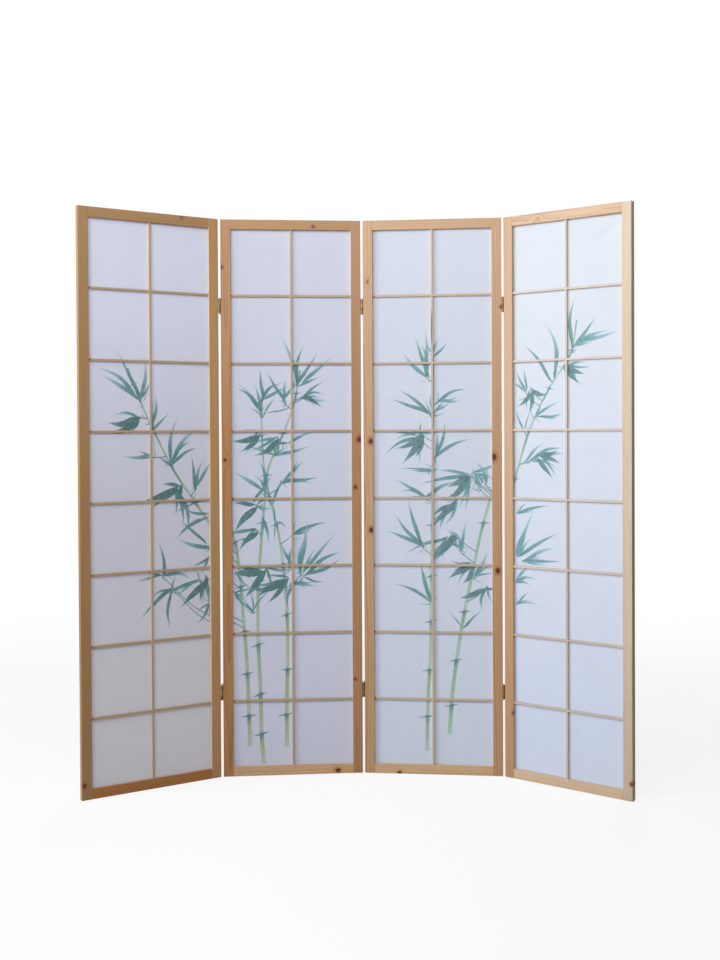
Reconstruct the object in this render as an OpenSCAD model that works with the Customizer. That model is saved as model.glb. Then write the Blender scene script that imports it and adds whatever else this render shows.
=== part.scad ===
// Folding screen: four papered lattice panels joined edge to edge by two-way hinges.
// The origin is on the floor under the middle of the standing screen.
// +Z is up and the front faces -Y. All sizes are in millimetres.

/* [Panels] */
// Height of a panel
panel_h = 1780; // [1480:5:2140]
// Width of a panel
panel_w = 445; // [370:1:540]
// Thickness of a panel's frame, front to back
frame_t = 19; // [16:0.5:24]
// Gap between the edges of two panels that stand flat
panel_gap = 7; // [6:0.1:9]

/* [Standing pose] */
// Turn of the second panel away from facing straight ahead
second_turn = 5; // [-15:0.5:15]
// Fold between the first and second panels, fronts towards each other
fold_12 = 27.5; // [0:0.5:60]
// Fold between the second and third panels, fronts towards each other
fold_23 = 11; // [0:0.5:40]
// Fold between the third and fourth panels, fronts towards each other
fold_34 = 30; // [0:0.5:60]

/* [Frame] */
// Width of a stile
stile_w = 31.5; // [27:0.5:40]
// Height of the top rail
top_rail_h = 31; // [25:0.5:40]
// Height of the bottom rail
bottom_rail_h = 30; // [25:0.5:40]
// Width of the eased corner along stiles and rails
arris = 0.8; // [0.2:0.1:1.5]
// Length of a rail's tenon
tenon_len = 20; // [12:1:24]
// Thickness of a rail's tenon
tenon_t = 6; // [4:0.5:8]
// Shoulder above and below a tenon
tenon_shoulder = 5; // [3:0.5:8]
// Clearance round a tenon in its mortise
tenon_clear = 0.1; // [0.05:0.05:0.3]
// Width of the rebate round the back of the opening
rebate_w = 8; // [6:0.5:10]

/* [Lattice] */
// Rows of openings between the rails
lattice_rows = 8; // [4:1:10]
// How much shorter an end row is than the others, from the rail's edge to the bar's middle
end_row_trim = 5.7; // [0:0.1:15]
// Width of a lattice bar, seen from the front
bar_w = 7; // [5:0.5:10]
// Depth of a lattice bar, front to back
bar_d = 8; // [6:0.5:9]
// How far the bars' front lies behind the frame's front
bar_setback = 3; // [1:0.5:5]
// Width of the eased corner along a bar's front
bar_arris = 0.5; // [0.1:0.1:1]
// How far a bar's end is let into the frame
bar_tongue = 4; // [2:0.5:6]
// Clearance at each side of a bar in its notch
bar_clear = 0.1; // [0.05:0.05:0.3]

/* [Sheet and beads] */
// Thickness of the paper sheet
paper_t = 0.4; // [0.2:0.1:0.8]
// Gap between the sheet's edge and the wall of the rebate
paper_margin = 1; // [0.5:0.1:2]
// Thickness of the film of paste on each face of the sheet
paste_t = 0.05; // [0.02:0.01:0.1]
// Width of the beads that hold the sheet
bead_w = 7; // [4:0.5:7.5]
// How far the beads' back lies inside the frame's back
bead_inset = 1.6; // [0:0.1:2.5]
// Clearance between a bead and what its edges face
bead_clear = 0.5; // [0.2:0.1:1]
// Width of the bevel along a bead's inner back corner
bead_bevel = 2; // [0.5:0.1:2]

/* [Hinges] */
// Height of a hinge
hinge_h = 47; // [40:1:60]
// From the panel's top down to the middle of the upper hinge
upper_hinge_drop = 275; // [150:5:400]
// From the floor up to the middle of the lower hinge
lower_hinge_rise = 270; // [150:5:400]
// Thickness of a hinge's leaves and web
leaf_t = 1.2; // [0.8:0.1:1.4]
// How far the pin's axis stands proud of the frame's face
pin_standoff = 1; // [0.8:0.1:2]
// Radius of a hinge pin
pin_r = 1.2; // [1:0.1:1.4]
// Radial clearance of a pin in the knuckles that turn on it
pin_run = 0.05; // [0.02:0.01:0.1]
// Radial clearance of a pin in the web's knuckle, which grips it
pin_grip = 0.01; // [0.01:0.01:0.02]
// Radius of a pin's button head
pin_head_r = 2.2; // [1.8:0.1:2.6]
// Height of a pin's button head
pin_head_h = 1; // [0.5:0.1:2]
// Clearance between a barrel and the panels' edges
barrel_clear = 0.7; // [0.5:0.1:1]
// Clearance between a barrel and the plates that it doesn't belong to
plate_clear = 0.5; // [0.3:0.1:1]
// Clearance between two knuckles, and between a knuckle and a pin's head
knuckle_clear = 0.3; // [0.1:0.1:0.6]

/* [Screws] */
// Screws in each hinge leaf
leaf_screws = 3; // [2:1:4]
// Height from the lowest to the highest screw in a leaf
screw_spread = 34; // [28:1:38]
// How far the screws lie either side of the leaf's middle line
screw_stagger = 2.5; // [0:0.5:3]
// Length of a screw
screw_len = 16; // [10:1:20]
// Radius of a screw's shank
screw_r = 1.75; // [1.2:0.05:2]
// Radius of a screw's flat head
screw_head_r = 2.9; // [2.4:0.1:3.4]
// Clearance round a screw in its holes
screw_clear = 0.05; // [0.02:0.01:0.1]
// Width of the crossed slots in a screw's head
slot_w = 0.7; // [0.4:0.1:1]
// Length of the crossed slots in a screw's head
slot_len = 3.6; // [2:0.1:4]
// Depth of the crossed slots in a screw's head
slot_d = 0.8; // [0.4:0.1:1]

/* [Hidden] */
PANEL_PARTS = ["left_stile", "right_stile", "top_rail", "bottom_rail", "upright_bar",
    "crossbars", "paper", "side_beads", "end_beads"];
HINGE_PARTS = ["left_leaves", "right_leaves", "webs", "front_pins", "rear_pins",
    "left_screws", "right_screws"];

$fn = 48;
// Overshoot of a cut past the face that it opens
past = 1;
wood = [0.80, 0.61, 0.42];
pale_wood = [0.86, 0.70, 0.50];
sheet_white = [0.84, 0.86, 0.92];
brass = [0.72, 0.58, 0.30];
steel = [0.62, 0.60, 0.55];

// The opening inside the frame, and the face behind the bars that the sheet lies on
opening_w = panel_w - 2 * stile_w;
opening_h = panel_h - top_rail_h - bottom_rail_h;
shelf_y = bar_setback + bar_d;
bead_y = shelf_y + paper_t + 2 * paste_t;
bead_d = frame_t - bead_inset - bead_y;
tenon_y = (shelf_y - tenon_t) / 2;
row_pitch = (opening_h + 2 * end_row_trim) / lattice_rows;
crossbar_z = [for (row = [1:lattice_rows - 1]) bottom_rail_h - end_row_trim + row * row_pitch];
upright_x = panel_w / 2;

// The rebate's four walls
rebate_x = [stile_w - rebate_w, panel_w - stile_w + rebate_w];
rebate_z = [bottom_rail_h - rebate_w, panel_h - top_rail_h + rebate_w];

// Hinges: a barrel fills the gap less its clearance, and knuckles share its height in thirds
barrel_r = panel_gap / 2 - barrel_clear;
plate_from = barrel_r + plate_clear - pin_standoff;
plate_depth = frame_t - 2 * plate_from;
knuckle_h = (hinge_h - 2 * knuckle_clear) / 3;
pin_half = hinge_h / 2 + knuckle_clear + pin_head_h;
hinge_z = [lower_hinge_rise, panel_h - upper_hinge_drop];
screw_spots = [for (k = [0:leaf_screws - 1])
    [frame_t / 2 + screw_stagger * (k % 2 == 0 ? -1 : 1),
     screw_spread * (k / (leaf_screws - 1) - 1 / 2)]];

// The standing pose, seen from above: each panel's turn and the place of its front left corner
function spin(turn, p) = [p.x * cos(turn) - p.y * sin(turn), p.x * sin(turn) + p.y * cos(turn)];
near_pin = [-panel_gap / 2, -pin_standoff];
far_pin = [panel_w + panel_gap / 2, -pin_standoff];
turns = [second_turn + fold_12, second_turn, second_turn - fold_23,
    second_turn - fold_23 - fold_34];
corner_2 = [0, 0];
corner_1 = corner_2 + spin(turns[1], near_pin) - spin(turns[0], far_pin);
corner_3 = corner_2 + spin(turns[1], far_pin) - spin(turns[2], near_pin);
corner_4 = corner_3 + spin(turns[2], far_pin) - spin(turns[3], near_pin);
corners = [corner_1, corner_2, corner_3, corner_4];

// The middle of everything that the pose covers on the floor
frame_plan = [[arris, 0], [panel_w - arris, 0], [panel_w, arris], [panel_w, frame_t - arris],
    [panel_w - arris, frame_t], [arris, frame_t], [0, frame_t - arris], [0, arris]];
barrel_plan = [for (y = [-pin_standoff, frame_t + pin_standoff]) [-panel_gap / 2, y]];
barrel_reach = [[barrel_r, 0], [-barrel_r, 0], [0, barrel_r], [0, -barrel_r]];
plan = concat(
    [for (i = [0:3]) for (p = frame_plan) corners[i] + spin(turns[i], p)],
    [for (i = [1:3]) for (p = barrel_plan) for (r = barrel_reach)
        corners[i] + spin(turns[i], p) + r]);
plan_x = [for (p = plan) p.x];
plan_y = [for (p = plan) p.y];
middle = [(min(plan_x) + max(plan_x)) / 2, (min(plan_y) + max(plan_y)) / 2];

// Places: a panel's own axes start at its front left bottom corner, with X along the panel.
// A gap's axes start at the front of the left panel's right edge. The right edge's axes are
// the same ones as they stand when the fold is open, so both edges share one hinge drawing.
module on_panel(panel) {
    at = corners[panel - 1] - middle;
    translate([at.x, at.y, 0]) rotate([0, 0, turns[panel - 1]]) children();
}

module on_left_edge(gap) {
    on_panel(gap) translate([panel_w, 0, 0]) children();
}

module on_right_edge(gap) {
    on_panel(gap + 1) translate([-panel_gap, 0, 0]) children();
}

// Half a turn about the middle of the gap, which swaps its edges and its faces
module turned_over() {
    translate([panel_gap, frame_t, 0]) rotate([0, 0, 180]) children();
}

module at_hinges() {
    for (z = hinge_z) translate([0, 0, z]) children();
}

// Extrudes an outline drawn as depth and height along a rail
module along_x(length) {
    rotate([90, 0, 90]) linear_extrude(length) children();
}

// Frame
module screw_pilots() {
    depth = screw_len - leaf_t + screw_clear;
    at_hinges() for (spot = screw_spots)
        translate([past, spot[0], spot[1]]) rotate([0, -90, 0])
            cylinder(r = screw_r + screw_clear, h = depth + past);
}

module stile_outline() {
    polygon([[arris, 0], [stile_w - arris, 0], [stile_w, arris], [stile_w, frame_t - arris],
        [stile_w - arris, frame_t], [arris, frame_t], [0, frame_t - arris], [0, arris]]);
}

module mortise(rail_z, rail_h) {
    translate([stile_w - tenon_len - tenon_clear, tenon_y - tenon_clear,
               rail_z + tenon_shoulder - tenon_clear])
        cube([tenon_len + tenon_clear + past, tenon_t + 2 * tenon_clear,
              rail_h - 2 * tenon_shoulder + 2 * tenon_clear]);
}

module stile() {
    difference() {
        linear_extrude(panel_h) stile_outline();
        translate([rebate_x[0], shelf_y, rebate_z[0]])
            cube([rebate_w + past, frame_t - shelf_y + past, rebate_z[1] - rebate_z[0]]);
        mortise(0, bottom_rail_h);
        mortise(panel_h - top_rail_h, top_rail_h);
        for (z = crossbar_z)
            translate([stile_w - bar_tongue - bar_clear, bar_setback,
                       z - bar_w / 2 - bar_clear])
                cube([bar_tongue + bar_clear + past, bar_d + past, bar_w + 2 * bar_clear]);
    }
}

module left_stile(panel) {
    color(wood) on_panel(panel) difference() {
        stile();
        if (panel > 1) translate([-panel_gap, 0, 0]) turned_over() screw_pilots();
    }
}

module right_stile(panel) {
    color(wood) on_panel(panel) difference() {
        translate([panel_w, 0, 0]) mirror([1, 0, 0]) stile();
        if (panel < 4) translate([panel_w, 0, 0]) screw_pilots();
    }
}

// A rail with its inner edge up, its tenons in the stiles and a notch for the upright bar
module rail(rail_h) {
    difference() {
        union() {
            translate([stile_w, 0, 0]) along_x(opening_w)
                polygon([[arris, 0], [frame_t - arris, 0], [frame_t, arris],
                    [frame_t, rail_h - rebate_w], [shelf_y, rail_h - rebate_w],
                    [shelf_y, rail_h], [arris, rail_h], [0, rail_h - arris], [0, arris]]);
            translate([stile_w - tenon_len, tenon_y, tenon_shoulder])
                cube([opening_w + 2 * tenon_len, tenon_t, rail_h - 2 * tenon_shoulder]);
        }
        translate([upright_x - bar_w / 2 - bar_clear, bar_setback,
                   rail_h - bar_tongue - bar_clear])
            cube([bar_w + 2 * bar_clear, bar_d + past, bar_tongue + bar_clear + past]);
    }
}

module bottom_rail(panel) {
    color(wood) on_panel(panel) rail(bottom_rail_h);
}

module top_rail(panel) {
    color(wood) on_panel(panel) translate([0, 0, panel_h]) mirror([0, 0, 1]) rail(top_rail_h);
}

// Lattice: at a crossing the upright keeps its front half and the crossbar its back half
module upright_bar(panel) {
    color(pale_wood) on_panel(panel) difference() {
        translate([upright_x - bar_w / 2, bar_setback, bottom_rail_h - bar_tongue])
            linear_extrude(opening_h + 2 * bar_tongue)
                polygon([[bar_arris, 0], [bar_w - bar_arris, 0], [bar_w, bar_arris],
                    [bar_w, bar_d], [0, bar_d], [0, bar_arris]]);
        for (z = crossbar_z)
            translate([upright_x - bar_w / 2 - past, bar_setback + bar_d / 2,
                       z - bar_w / 2 - bar_clear])
                cube([bar_w + 2 * past, bar_d, bar_w + 2 * bar_clear]);
    }
}

module crossbars(panel) {
    color(pale_wood) on_panel(panel) for (z = crossbar_z) translate([0, 0, z - bar_w / 2])
        difference() {
            translate([stile_w - bar_tongue, bar_setback, 0])
                along_x(opening_w + 2 * bar_tongue)
                    polygon([[bar_arris, 0], [bar_d, 0], [bar_d, bar_w], [bar_arris, bar_w],
                        [0, bar_w - bar_arris], [0, bar_arris]]);
            translate([upright_x - bar_w / 2 - bar_clear, bar_setback - past, -past])
                cube([bar_w + 2 * bar_clear, bar_d / 2 + past, bar_w + 2 * past]);
        }
}

// Sheet and the beads that hold it in the rebate
module paper(panel) {
    color(sheet_white) on_panel(panel)
        translate([rebate_x[0] + paper_margin, shelf_y + paste_t, rebate_z[0] + paper_margin])
            cube([rebate_x[1] - rebate_x[0] - 2 * paper_margin, paper_t,
                  rebate_z[1] - rebate_z[0] - 2 * paper_margin]);
}

module side_bead() {
    translate([rebate_x[0] + bead_clear, bead_y, rebate_z[0] + bead_clear])
        linear_extrude(rebate_z[1] - rebate_z[0] - 2 * bead_clear)
            polygon([[0, 0], [bead_w, 0], [bead_w, bead_d - bead_bevel],
                [bead_w - bead_bevel, bead_d], [0, bead_d]]);
}

module side_beads(panel) {
    color(pale_wood) on_panel(panel) {
        side_bead();
        translate([panel_w, 0, 0]) mirror([1, 0, 0]) side_bead();
    }
}

// An end bead with its bevel up, between the side beads
module end_bead() {
    from_x = rebate_x[0] + bead_w + 2 * bead_clear;
    translate([from_x, bead_y, 0]) along_x(panel_w - 2 * from_x)
        polygon([[0, 0], [bead_d, 0], [bead_d, bead_w - bead_bevel],
            [bead_d - bead_bevel, bead_w], [0, bead_w]]);
}

module end_beads(panel) {
    color(pale_wood) on_panel(panel) {
        translate([0, 0, rebate_z[0] + bead_clear]) end_bead();
        translate([0, 0, rebate_z[1] - bead_clear]) mirror([0, 0, 1]) end_bead();
    }
}

// Hinges: the left leaf turns on the front pin and the right leaf on the rear pin.
// The right leaf is the left one turned half round.
module pin_hole(clear, height) {
    translate([0, 0, -height / 2 - past])
        cylinder(r = pin_r + clear, h = height + 2 * past);
}

module screw_hole() {
    rotate([0, -90, 0]) rotate_extrude()
        polygon([[0, -past], [screw_head_r + screw_clear, -past],
            [screw_head_r + screw_clear, 0], [screw_r + screw_clear, leaf_t],
            [screw_r + screw_clear, leaf_t + past], [0, leaf_t + past]]);
}

module leaf_knuckle() {
    linear_extrude(knuckle_h)
        polygon([[0, 0], [0, plate_from + leaf_t], [leaf_t, plate_from + leaf_t],
            [leaf_t, plate_from], [panel_gap / 2, -pin_standoff],
            [barrel_clear, -pin_standoff]]);
    translate([panel_gap / 2, -pin_standoff, 0]) cylinder(r = barrel_r, h = knuckle_h);
}

module leaf() {
    difference() {
        union() {
            translate([0, plate_from, -hinge_h / 2]) cube([leaf_t, plate_depth, hinge_h]);
            for (z = [-hinge_h / 2, hinge_h / 2 - knuckle_h])
                translate([0, 0, z]) leaf_knuckle();
        }
        translate([panel_gap / 2, -pin_standoff, 0]) pin_hole(pin_run, hinge_h);
        for (spot = screw_spots) translate([leaf_t, spot[0], spot[1]]) screw_hole();
    }
}

module left_leaves(gap) {
    color(brass) on_left_edge(gap) at_hinges() leaf();
}

module right_leaves(gap) {
    color(brass) on_right_edge(gap) turned_over() at_hinges() leaf();
}

module web() {
    difference() {
        union() {
            translate([panel_gap / 2 - leaf_t / 2, plate_from, -hinge_h / 2])
                cube([leaf_t, plate_depth, hinge_h]);
            translate([panel_gap / 2 - leaf_t / 2, -pin_standoff, -knuckle_h / 2])
                cube([leaf_t, frame_t + 2 * pin_standoff, knuckle_h]);
            for (y = [-pin_standoff, frame_t + pin_standoff])
                translate([panel_gap / 2, y, -knuckle_h / 2])
                    cylinder(r = barrel_r, h = knuckle_h);
        }
        for (y = [-pin_standoff, frame_t + pin_standoff])
            translate([panel_gap / 2, y, 0]) pin_hole(pin_grip, knuckle_h);
    }
}

module webs(gap) {
    color(brass) on_right_edge(gap) at_hinges() web();
}

module pin() {
    edge = pin_head_h / 3;
    shank = pin_half - pin_head_h;
    rotate_extrude()
        polygon([[0, -pin_half], [pin_head_r - edge, -pin_half], [pin_head_r, edge - pin_half],
            [pin_head_r, -shank], [pin_r, -shank], [pin_r, shank], [pin_head_r, shank],
            [pin_head_r, pin_half - edge], [pin_head_r - edge, pin_half], [0, pin_half]]);
}

module front_pins(gap) {
    color(brass) on_right_edge(gap) translate([panel_gap / 2, -pin_standoff, 0])
        at_hinges() pin();
}

module rear_pins(gap) {
    color(brass) on_right_edge(gap) translate([panel_gap / 2, frame_t + pin_standoff, 0])
        at_hinges() pin();
}

// Screws run from a leaf's face into the stile behind it
module screw() {
    tip = 2 * screw_r;
    rotate([0, -90, 0]) difference() {
        rotate_extrude()
            polygon([[0, 0], [screw_head_r, 0], [screw_r, leaf_t], [screw_r, screw_len - tip],
                [0, screw_len]]);
        for (turn = [0, 90]) rotate([0, 0, turn])
            translate([-slot_len / 2, -slot_w / 2, -past]) cube([slot_len, slot_w, slot_d + past]);
    }
}

module leaf_screws_at_hinges() {
    at_hinges() for (spot = screw_spots) translate([leaf_t, spot[0], spot[1]]) screw();
}

module left_screws(gap) {
    color(steel) on_left_edge(gap) leaf_screws_at_hinges();
}

module right_screws(gap) {
    color(steel) on_right_edge(gap) turned_over() leaf_screws_at_hinges();
}

left_stile(1);  // panel_1_left_stile
right_stile(1);  // panel_1_right_stile
top_rail(1);  // panel_1_top_rail
bottom_rail(1);  // panel_1_bottom_rail
upright_bar(1);  // panel_1_upright_bar
crossbars(1);  // panel_1_crossbars
paper(1);  // panel_1_paper
side_beads(1);  // panel_1_side_beads
end_beads(1);  // panel_1_end_beads
left_stile(2);  // panel_2_left_stile
right_stile(2);  // panel_2_right_stile
top_rail(2);  // panel_2_top_rail
bottom_rail(2);  // panel_2_bottom_rail
upright_bar(2);  // panel_2_upright_bar
crossbars(2);  // panel_2_crossbars
paper(2);  // panel_2_paper
side_beads(2);  // panel_2_side_beads
end_beads(2);  // panel_2_end_beads
left_stile(3);  // panel_3_left_stile
right_stile(3);  // panel_3_right_stile
top_rail(3);  // panel_3_top_rail
bottom_rail(3);  // panel_3_bottom_rail
upright_bar(3);  // panel_3_upright_bar
crossbars(3);  // panel_3_crossbars
paper(3);  // panel_3_paper
side_beads(3);  // panel_3_side_beads
end_beads(3);  // panel_3_end_beads
left_stile(4);  // panel_4_left_stile
right_stile(4);  // panel_4_right_stile
top_rail(4);  // panel_4_top_rail
bottom_rail(4);  // panel_4_bottom_rail
upright_bar(4);  // panel_4_upright_bar
crossbars(4);  // panel_4_crossbars
paper(4);  // panel_4_paper
side_beads(4);  // panel_4_side_beads
end_beads(4);  // panel_4_end_beads
left_leaves(1);  // hinge_12_left_leaves
right_leaves(1);  // hinge_12_right_leaves
webs(1);  // hinge_12_webs
front_pins(1);  // hinge_12_front_pins
rear_pins(1);  // hinge_12_rear_pins
left_screws(1);  // hinge_12_left_screws
right_screws(1);  // hinge_12_right_screws
left_leaves(2);  // hinge_23_left_leaves
right_leaves(2);  // hinge_23_right_leaves
webs(2);  // hinge_23_webs
front_pins(2);  // hinge_23_front_pins
rear_pins(2);  // hinge_23_rear_pins
left_screws(2);  // hinge_23_left_screws
right_screws(2);  // hinge_23_right_screws
left_leaves(3);  // hinge_34_left_leaves
right_leaves(3);  // hinge_34_right_leaves
webs(3);  // hinge_34_webs
front_pins(3);  // hinge_34_front_pins
rear_pins(3);  // hinge_34_rear_pins
left_screws(3);  // hinge_34_left_screws
right_screws(3);  // hinge_34_right_screws
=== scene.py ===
"""Folding screen of four lattice panels with printed papers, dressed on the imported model.

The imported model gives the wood, the hinges and the screws. This script gives them their finishes, makes
the four printed paper sheets, and sets up the studio in which they stand.
"""
import logging
import math
import random
from dataclasses import dataclass, field
from enum import Enum

import bpy
import numpy as np
from mathutils import Euler, Matrix, Vector
from mathutils.geometry import delaunay_2d_cdt


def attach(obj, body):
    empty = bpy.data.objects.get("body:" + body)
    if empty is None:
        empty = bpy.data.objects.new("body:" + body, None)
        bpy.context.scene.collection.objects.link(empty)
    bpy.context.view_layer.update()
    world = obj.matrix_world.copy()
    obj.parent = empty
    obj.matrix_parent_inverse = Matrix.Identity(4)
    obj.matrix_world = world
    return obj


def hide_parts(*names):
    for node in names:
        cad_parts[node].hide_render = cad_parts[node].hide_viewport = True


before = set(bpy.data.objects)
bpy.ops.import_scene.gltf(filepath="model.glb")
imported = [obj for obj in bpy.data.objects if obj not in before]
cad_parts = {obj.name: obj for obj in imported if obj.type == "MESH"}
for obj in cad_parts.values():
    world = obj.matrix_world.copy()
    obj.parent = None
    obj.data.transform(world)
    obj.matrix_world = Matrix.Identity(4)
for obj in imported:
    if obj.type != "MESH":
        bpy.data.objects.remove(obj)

LOG = logging.getLogger("folding_screen")
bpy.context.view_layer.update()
MM = 0.001
SEED = 417
NO_COVER = 1e-6

Colour = tuple[float, float, float, float]
Point = tuple[float, float]
Triple = tuple[float, float, float]
Socket = bpy.types.NodeSocket
Material = bpy.types.Material

WHITE = (1.0, 1.0, 1.0, 1.0)
BRIGHTEST = 0.95
SCREEN_FULL = 255
CURVE_KNEE = 0.04045
CURVE_SLOPE = 12.92
CURVE_OFFSET = 0.055
CURVE_POWER = 2.4


def tint(red: int, green: int, blue: int, strength: float = 1.0) -> Colour:
    """Turns a screen colour into the linear colour that a shader reads.

    Args:
        red: Red from 0 to 255.
        green: Green from 0 to 255.
        blue: Blue from 0 to 255.
        strength: The fourth value, the cover of an ink.

    Returns:
        The linear red, green and blue, and the strength.
    """
    parts = []
    for value in (red, green, blue):
        share = value / SCREEN_FULL
        curved = ((share + CURVE_OFFSET) / (1 + CURVE_OFFSET)) ** CURVE_POWER
        parts.append(share / CURVE_SLOPE if share <= CURVE_KNEE else curved)
    return (*parts, strength)


def shade(colour: Colour, factors: Triple) -> Colour:
    """Returns a linear colour times three factors, up to the brightest that a surface has."""
    return (*(min(BRIGHTEST, part * factor) for part, factor in zip(colour, factors)), colour[3])


def wave(share: float) -> float:
    """Returns the height of half a sine wave at a share of its width, and 0 outside it."""
    return math.sin(math.pi * min(1.0, max(0.0, share)))


class NodeBoard:
    """A material's or a world's nodes, with the few calls that the finishes share."""

    # The Mix node's sockets for colours
    FIRST, SECOND, MIXED = 6, 7, 2

    def __init__(self, owner: bpy.types.ID, end: str = "OutputMaterial") -> None:
        """Clears a new material or world of all but its output.

        Args:
            owner: The material or the world.
            end: The kind of its output node.
        """
        self.owner = owner
        owner.use_nodes = True
        self.tree = owner.node_tree
        self.tree.nodes.clear()
        self.output = self.add(end)

    def add(self, kind: str, inputs: dict | None = None, **settings: object) -> bpy.types.Node:
        """Adds a node.

        Args:
            kind: The node's type, without the word Shader in front.
            inputs: What goes in, by the input's name or number: an output socket or a plain value.
            **settings: The node's own settings.

        Returns:
            The node.
        """
        node = self.tree.nodes.new("ShaderNode" + kind)
        for name, value in settings.items():
            setattr(node, name, value)
        for name, value in (inputs or {}).items():
            if isinstance(value, Socket):
                self.tree.links.new(value, node.inputs[name])
            else:
                node.inputs[name].default_value = value
        return node

    def place(self, centre: Vector = Vector(), turn: Euler = Euler()) -> Socket:
        """Returns the coordinates in a member's own axes, from its middle and its turn."""
        inputs = {"Vector": self.add("TexCoord").outputs["Object"], "Location": centre, "Rotation": turn}
        return self.add("Mapping", inputs, vector_type="TEXTURE").outputs["Vector"]

    def vector(self, operation: str, first: Socket, second: Triple) -> Socket:
        """Returns the result of a Vector Math operation on two vectors."""
        return self.add("VectorMath", {0: first, 1: second}, operation=operation).outputs["Vector"]

    def length(self, vector: Socket) -> Socket:
        """Returns a vector's length."""
        return self.add("VectorMath", {0: vector}, operation="LENGTH").outputs["Value"]

    def split(self, vector: Socket) -> tuple[Socket, ...]:
        """Returns a vector's X, Y and Z."""
        return tuple(self.add("SeparateXYZ", {0: vector}).outputs)

    def sum(self, operation: str, *values: Socket | float) -> Socket:
        """Returns the result of a Math operation on up to three numbers."""
        return self.add("Math", dict(enumerate(values)), operation=operation).outputs[0]

    def scaled(self, value: Socket, factor: Socket | float, *plus: Socket | float) -> Socket:
        """Returns a number times a factor, plus another number where one is given."""
        return self.sum("MULTIPLY_ADD" if plus else "MULTIPLY", value, factor, *plus)

    def noise(self, place: Socket, waves: Triple, detail: float, rough: float = 0.5,
              swirl: float = 0.0) -> Socket:
        """Returns smooth noise from 0 to 1, with its waves in a metre on each axis, octaves and swirl."""
        inputs = {"Vector": self.vector("MULTIPLY", place, waves), "Scale": 1.0, "Detail": detail,
                  "Roughness": rough, "Distortion": swirl}
        return self.add("TexNoise", inputs).outputs["Fac"]

    def span(self, value: Socket, low: float, high: float, start: float = 0.0, end: float = 1.0) -> Socket:
        """Returns a number mapped from low and high to start and end, along a smooth step."""
        inputs = {"Value": value, "From Min": low, "From Max": high, "To Min": start, "To Max": end}
        return self.add("MapRange", inputs, interpolation_type="SMOOTHSTEP").outputs["Result"]

    def patches(self, place: Socket, noise: tuple, step: tuple) -> Socket:
        """Returns noise mapped along a smooth step."""
        return self.span(self.noise(place, *noise), *step)

    def mix(self, amount: Socket | float, first: Socket | Colour, second: Socket | Colour,
            blend: str = "MIX") -> Socket:
        """Returns two colours mixed, with the second colour's share."""
        inputs = {0: amount, self.FIRST: first, self.SECOND: second}
        return self.add("Mix", inputs, data_type="RGBA", blend_type=blend).outputs[self.MIXED]

    def grey(self, value: Socket) -> Socket:
        """Returns the grey colour of a brightness."""
        return self.add("CombineColor", dict.fromkeys(range(3), value)).outputs["Color"]

    def dim(self, colour: Socket, share: Socket) -> Socket:
        """Returns a colour multiplied by a number."""
        return self.mix(1.0, colour, self.grey(share), "MULTIPLY")

    def relief(self, height: Socket, strength: float, depth: float) -> Socket:
        """Returns the normal that a height gives, with the height's size in metres."""
        inputs = {"Strength": strength, "Distance": depth, "Height": height}
        return self.add("Bump", inputs).outputs["Normal"]

    def blend(self, share: Socket | float, first: Socket, second: Socket) -> Socket:
        """Returns two shaders mixed, with the second shader's share."""
        return self.add("MixShader", {0: share, 1: first, 2: second}).outputs[0]

    def surface(self, colour: Socket, roughness: Socket | float, normal: Socket, **plain: float) -> Socket:
        """Returns the main shader, with its other inputs by name, with underscores for spaces."""
        inputs = {"Base Color": colour, "Roughness": roughness, "Normal": normal}
        inputs |= {name.replace("_", " "): value for name, value in plain.items()}
        return self.add("BsdfPrincipled", inputs).outputs[0]

    def close(self, shader: Socket) -> bpy.types.ID:
        """Returns the material or world with its shader linked to the output."""
        self.tree.links.new(shader, self.output.inputs["Surface"])
        return self.owner


class Grain(Enum):
    """Which way a member's grain runs, as the turn about the panel's own Y axis."""

    UPRIGHT = -math.pi / 2
    LEVEL = 0.0


@dataclass(frozen=True)
class Knot:
    """A knot that goes through a member from front to back; the same record also places dark streaks and
    the painted shadow spots at the crossbars' ends.

    Attributes:
        along: Place from the member's middle along the grain, in millimetres.
        across: Place across the grain, in millimetres, towards the left on a stile and up on a rail.
        radius: Radius of the dark heart, in millimetres.
        depth: How dark the heart is, from 0 to 1.
    """

    along: float
    across: float
    radius: float
    depth: float = 1.0


Knots = tuple[Knot, ...]


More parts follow.
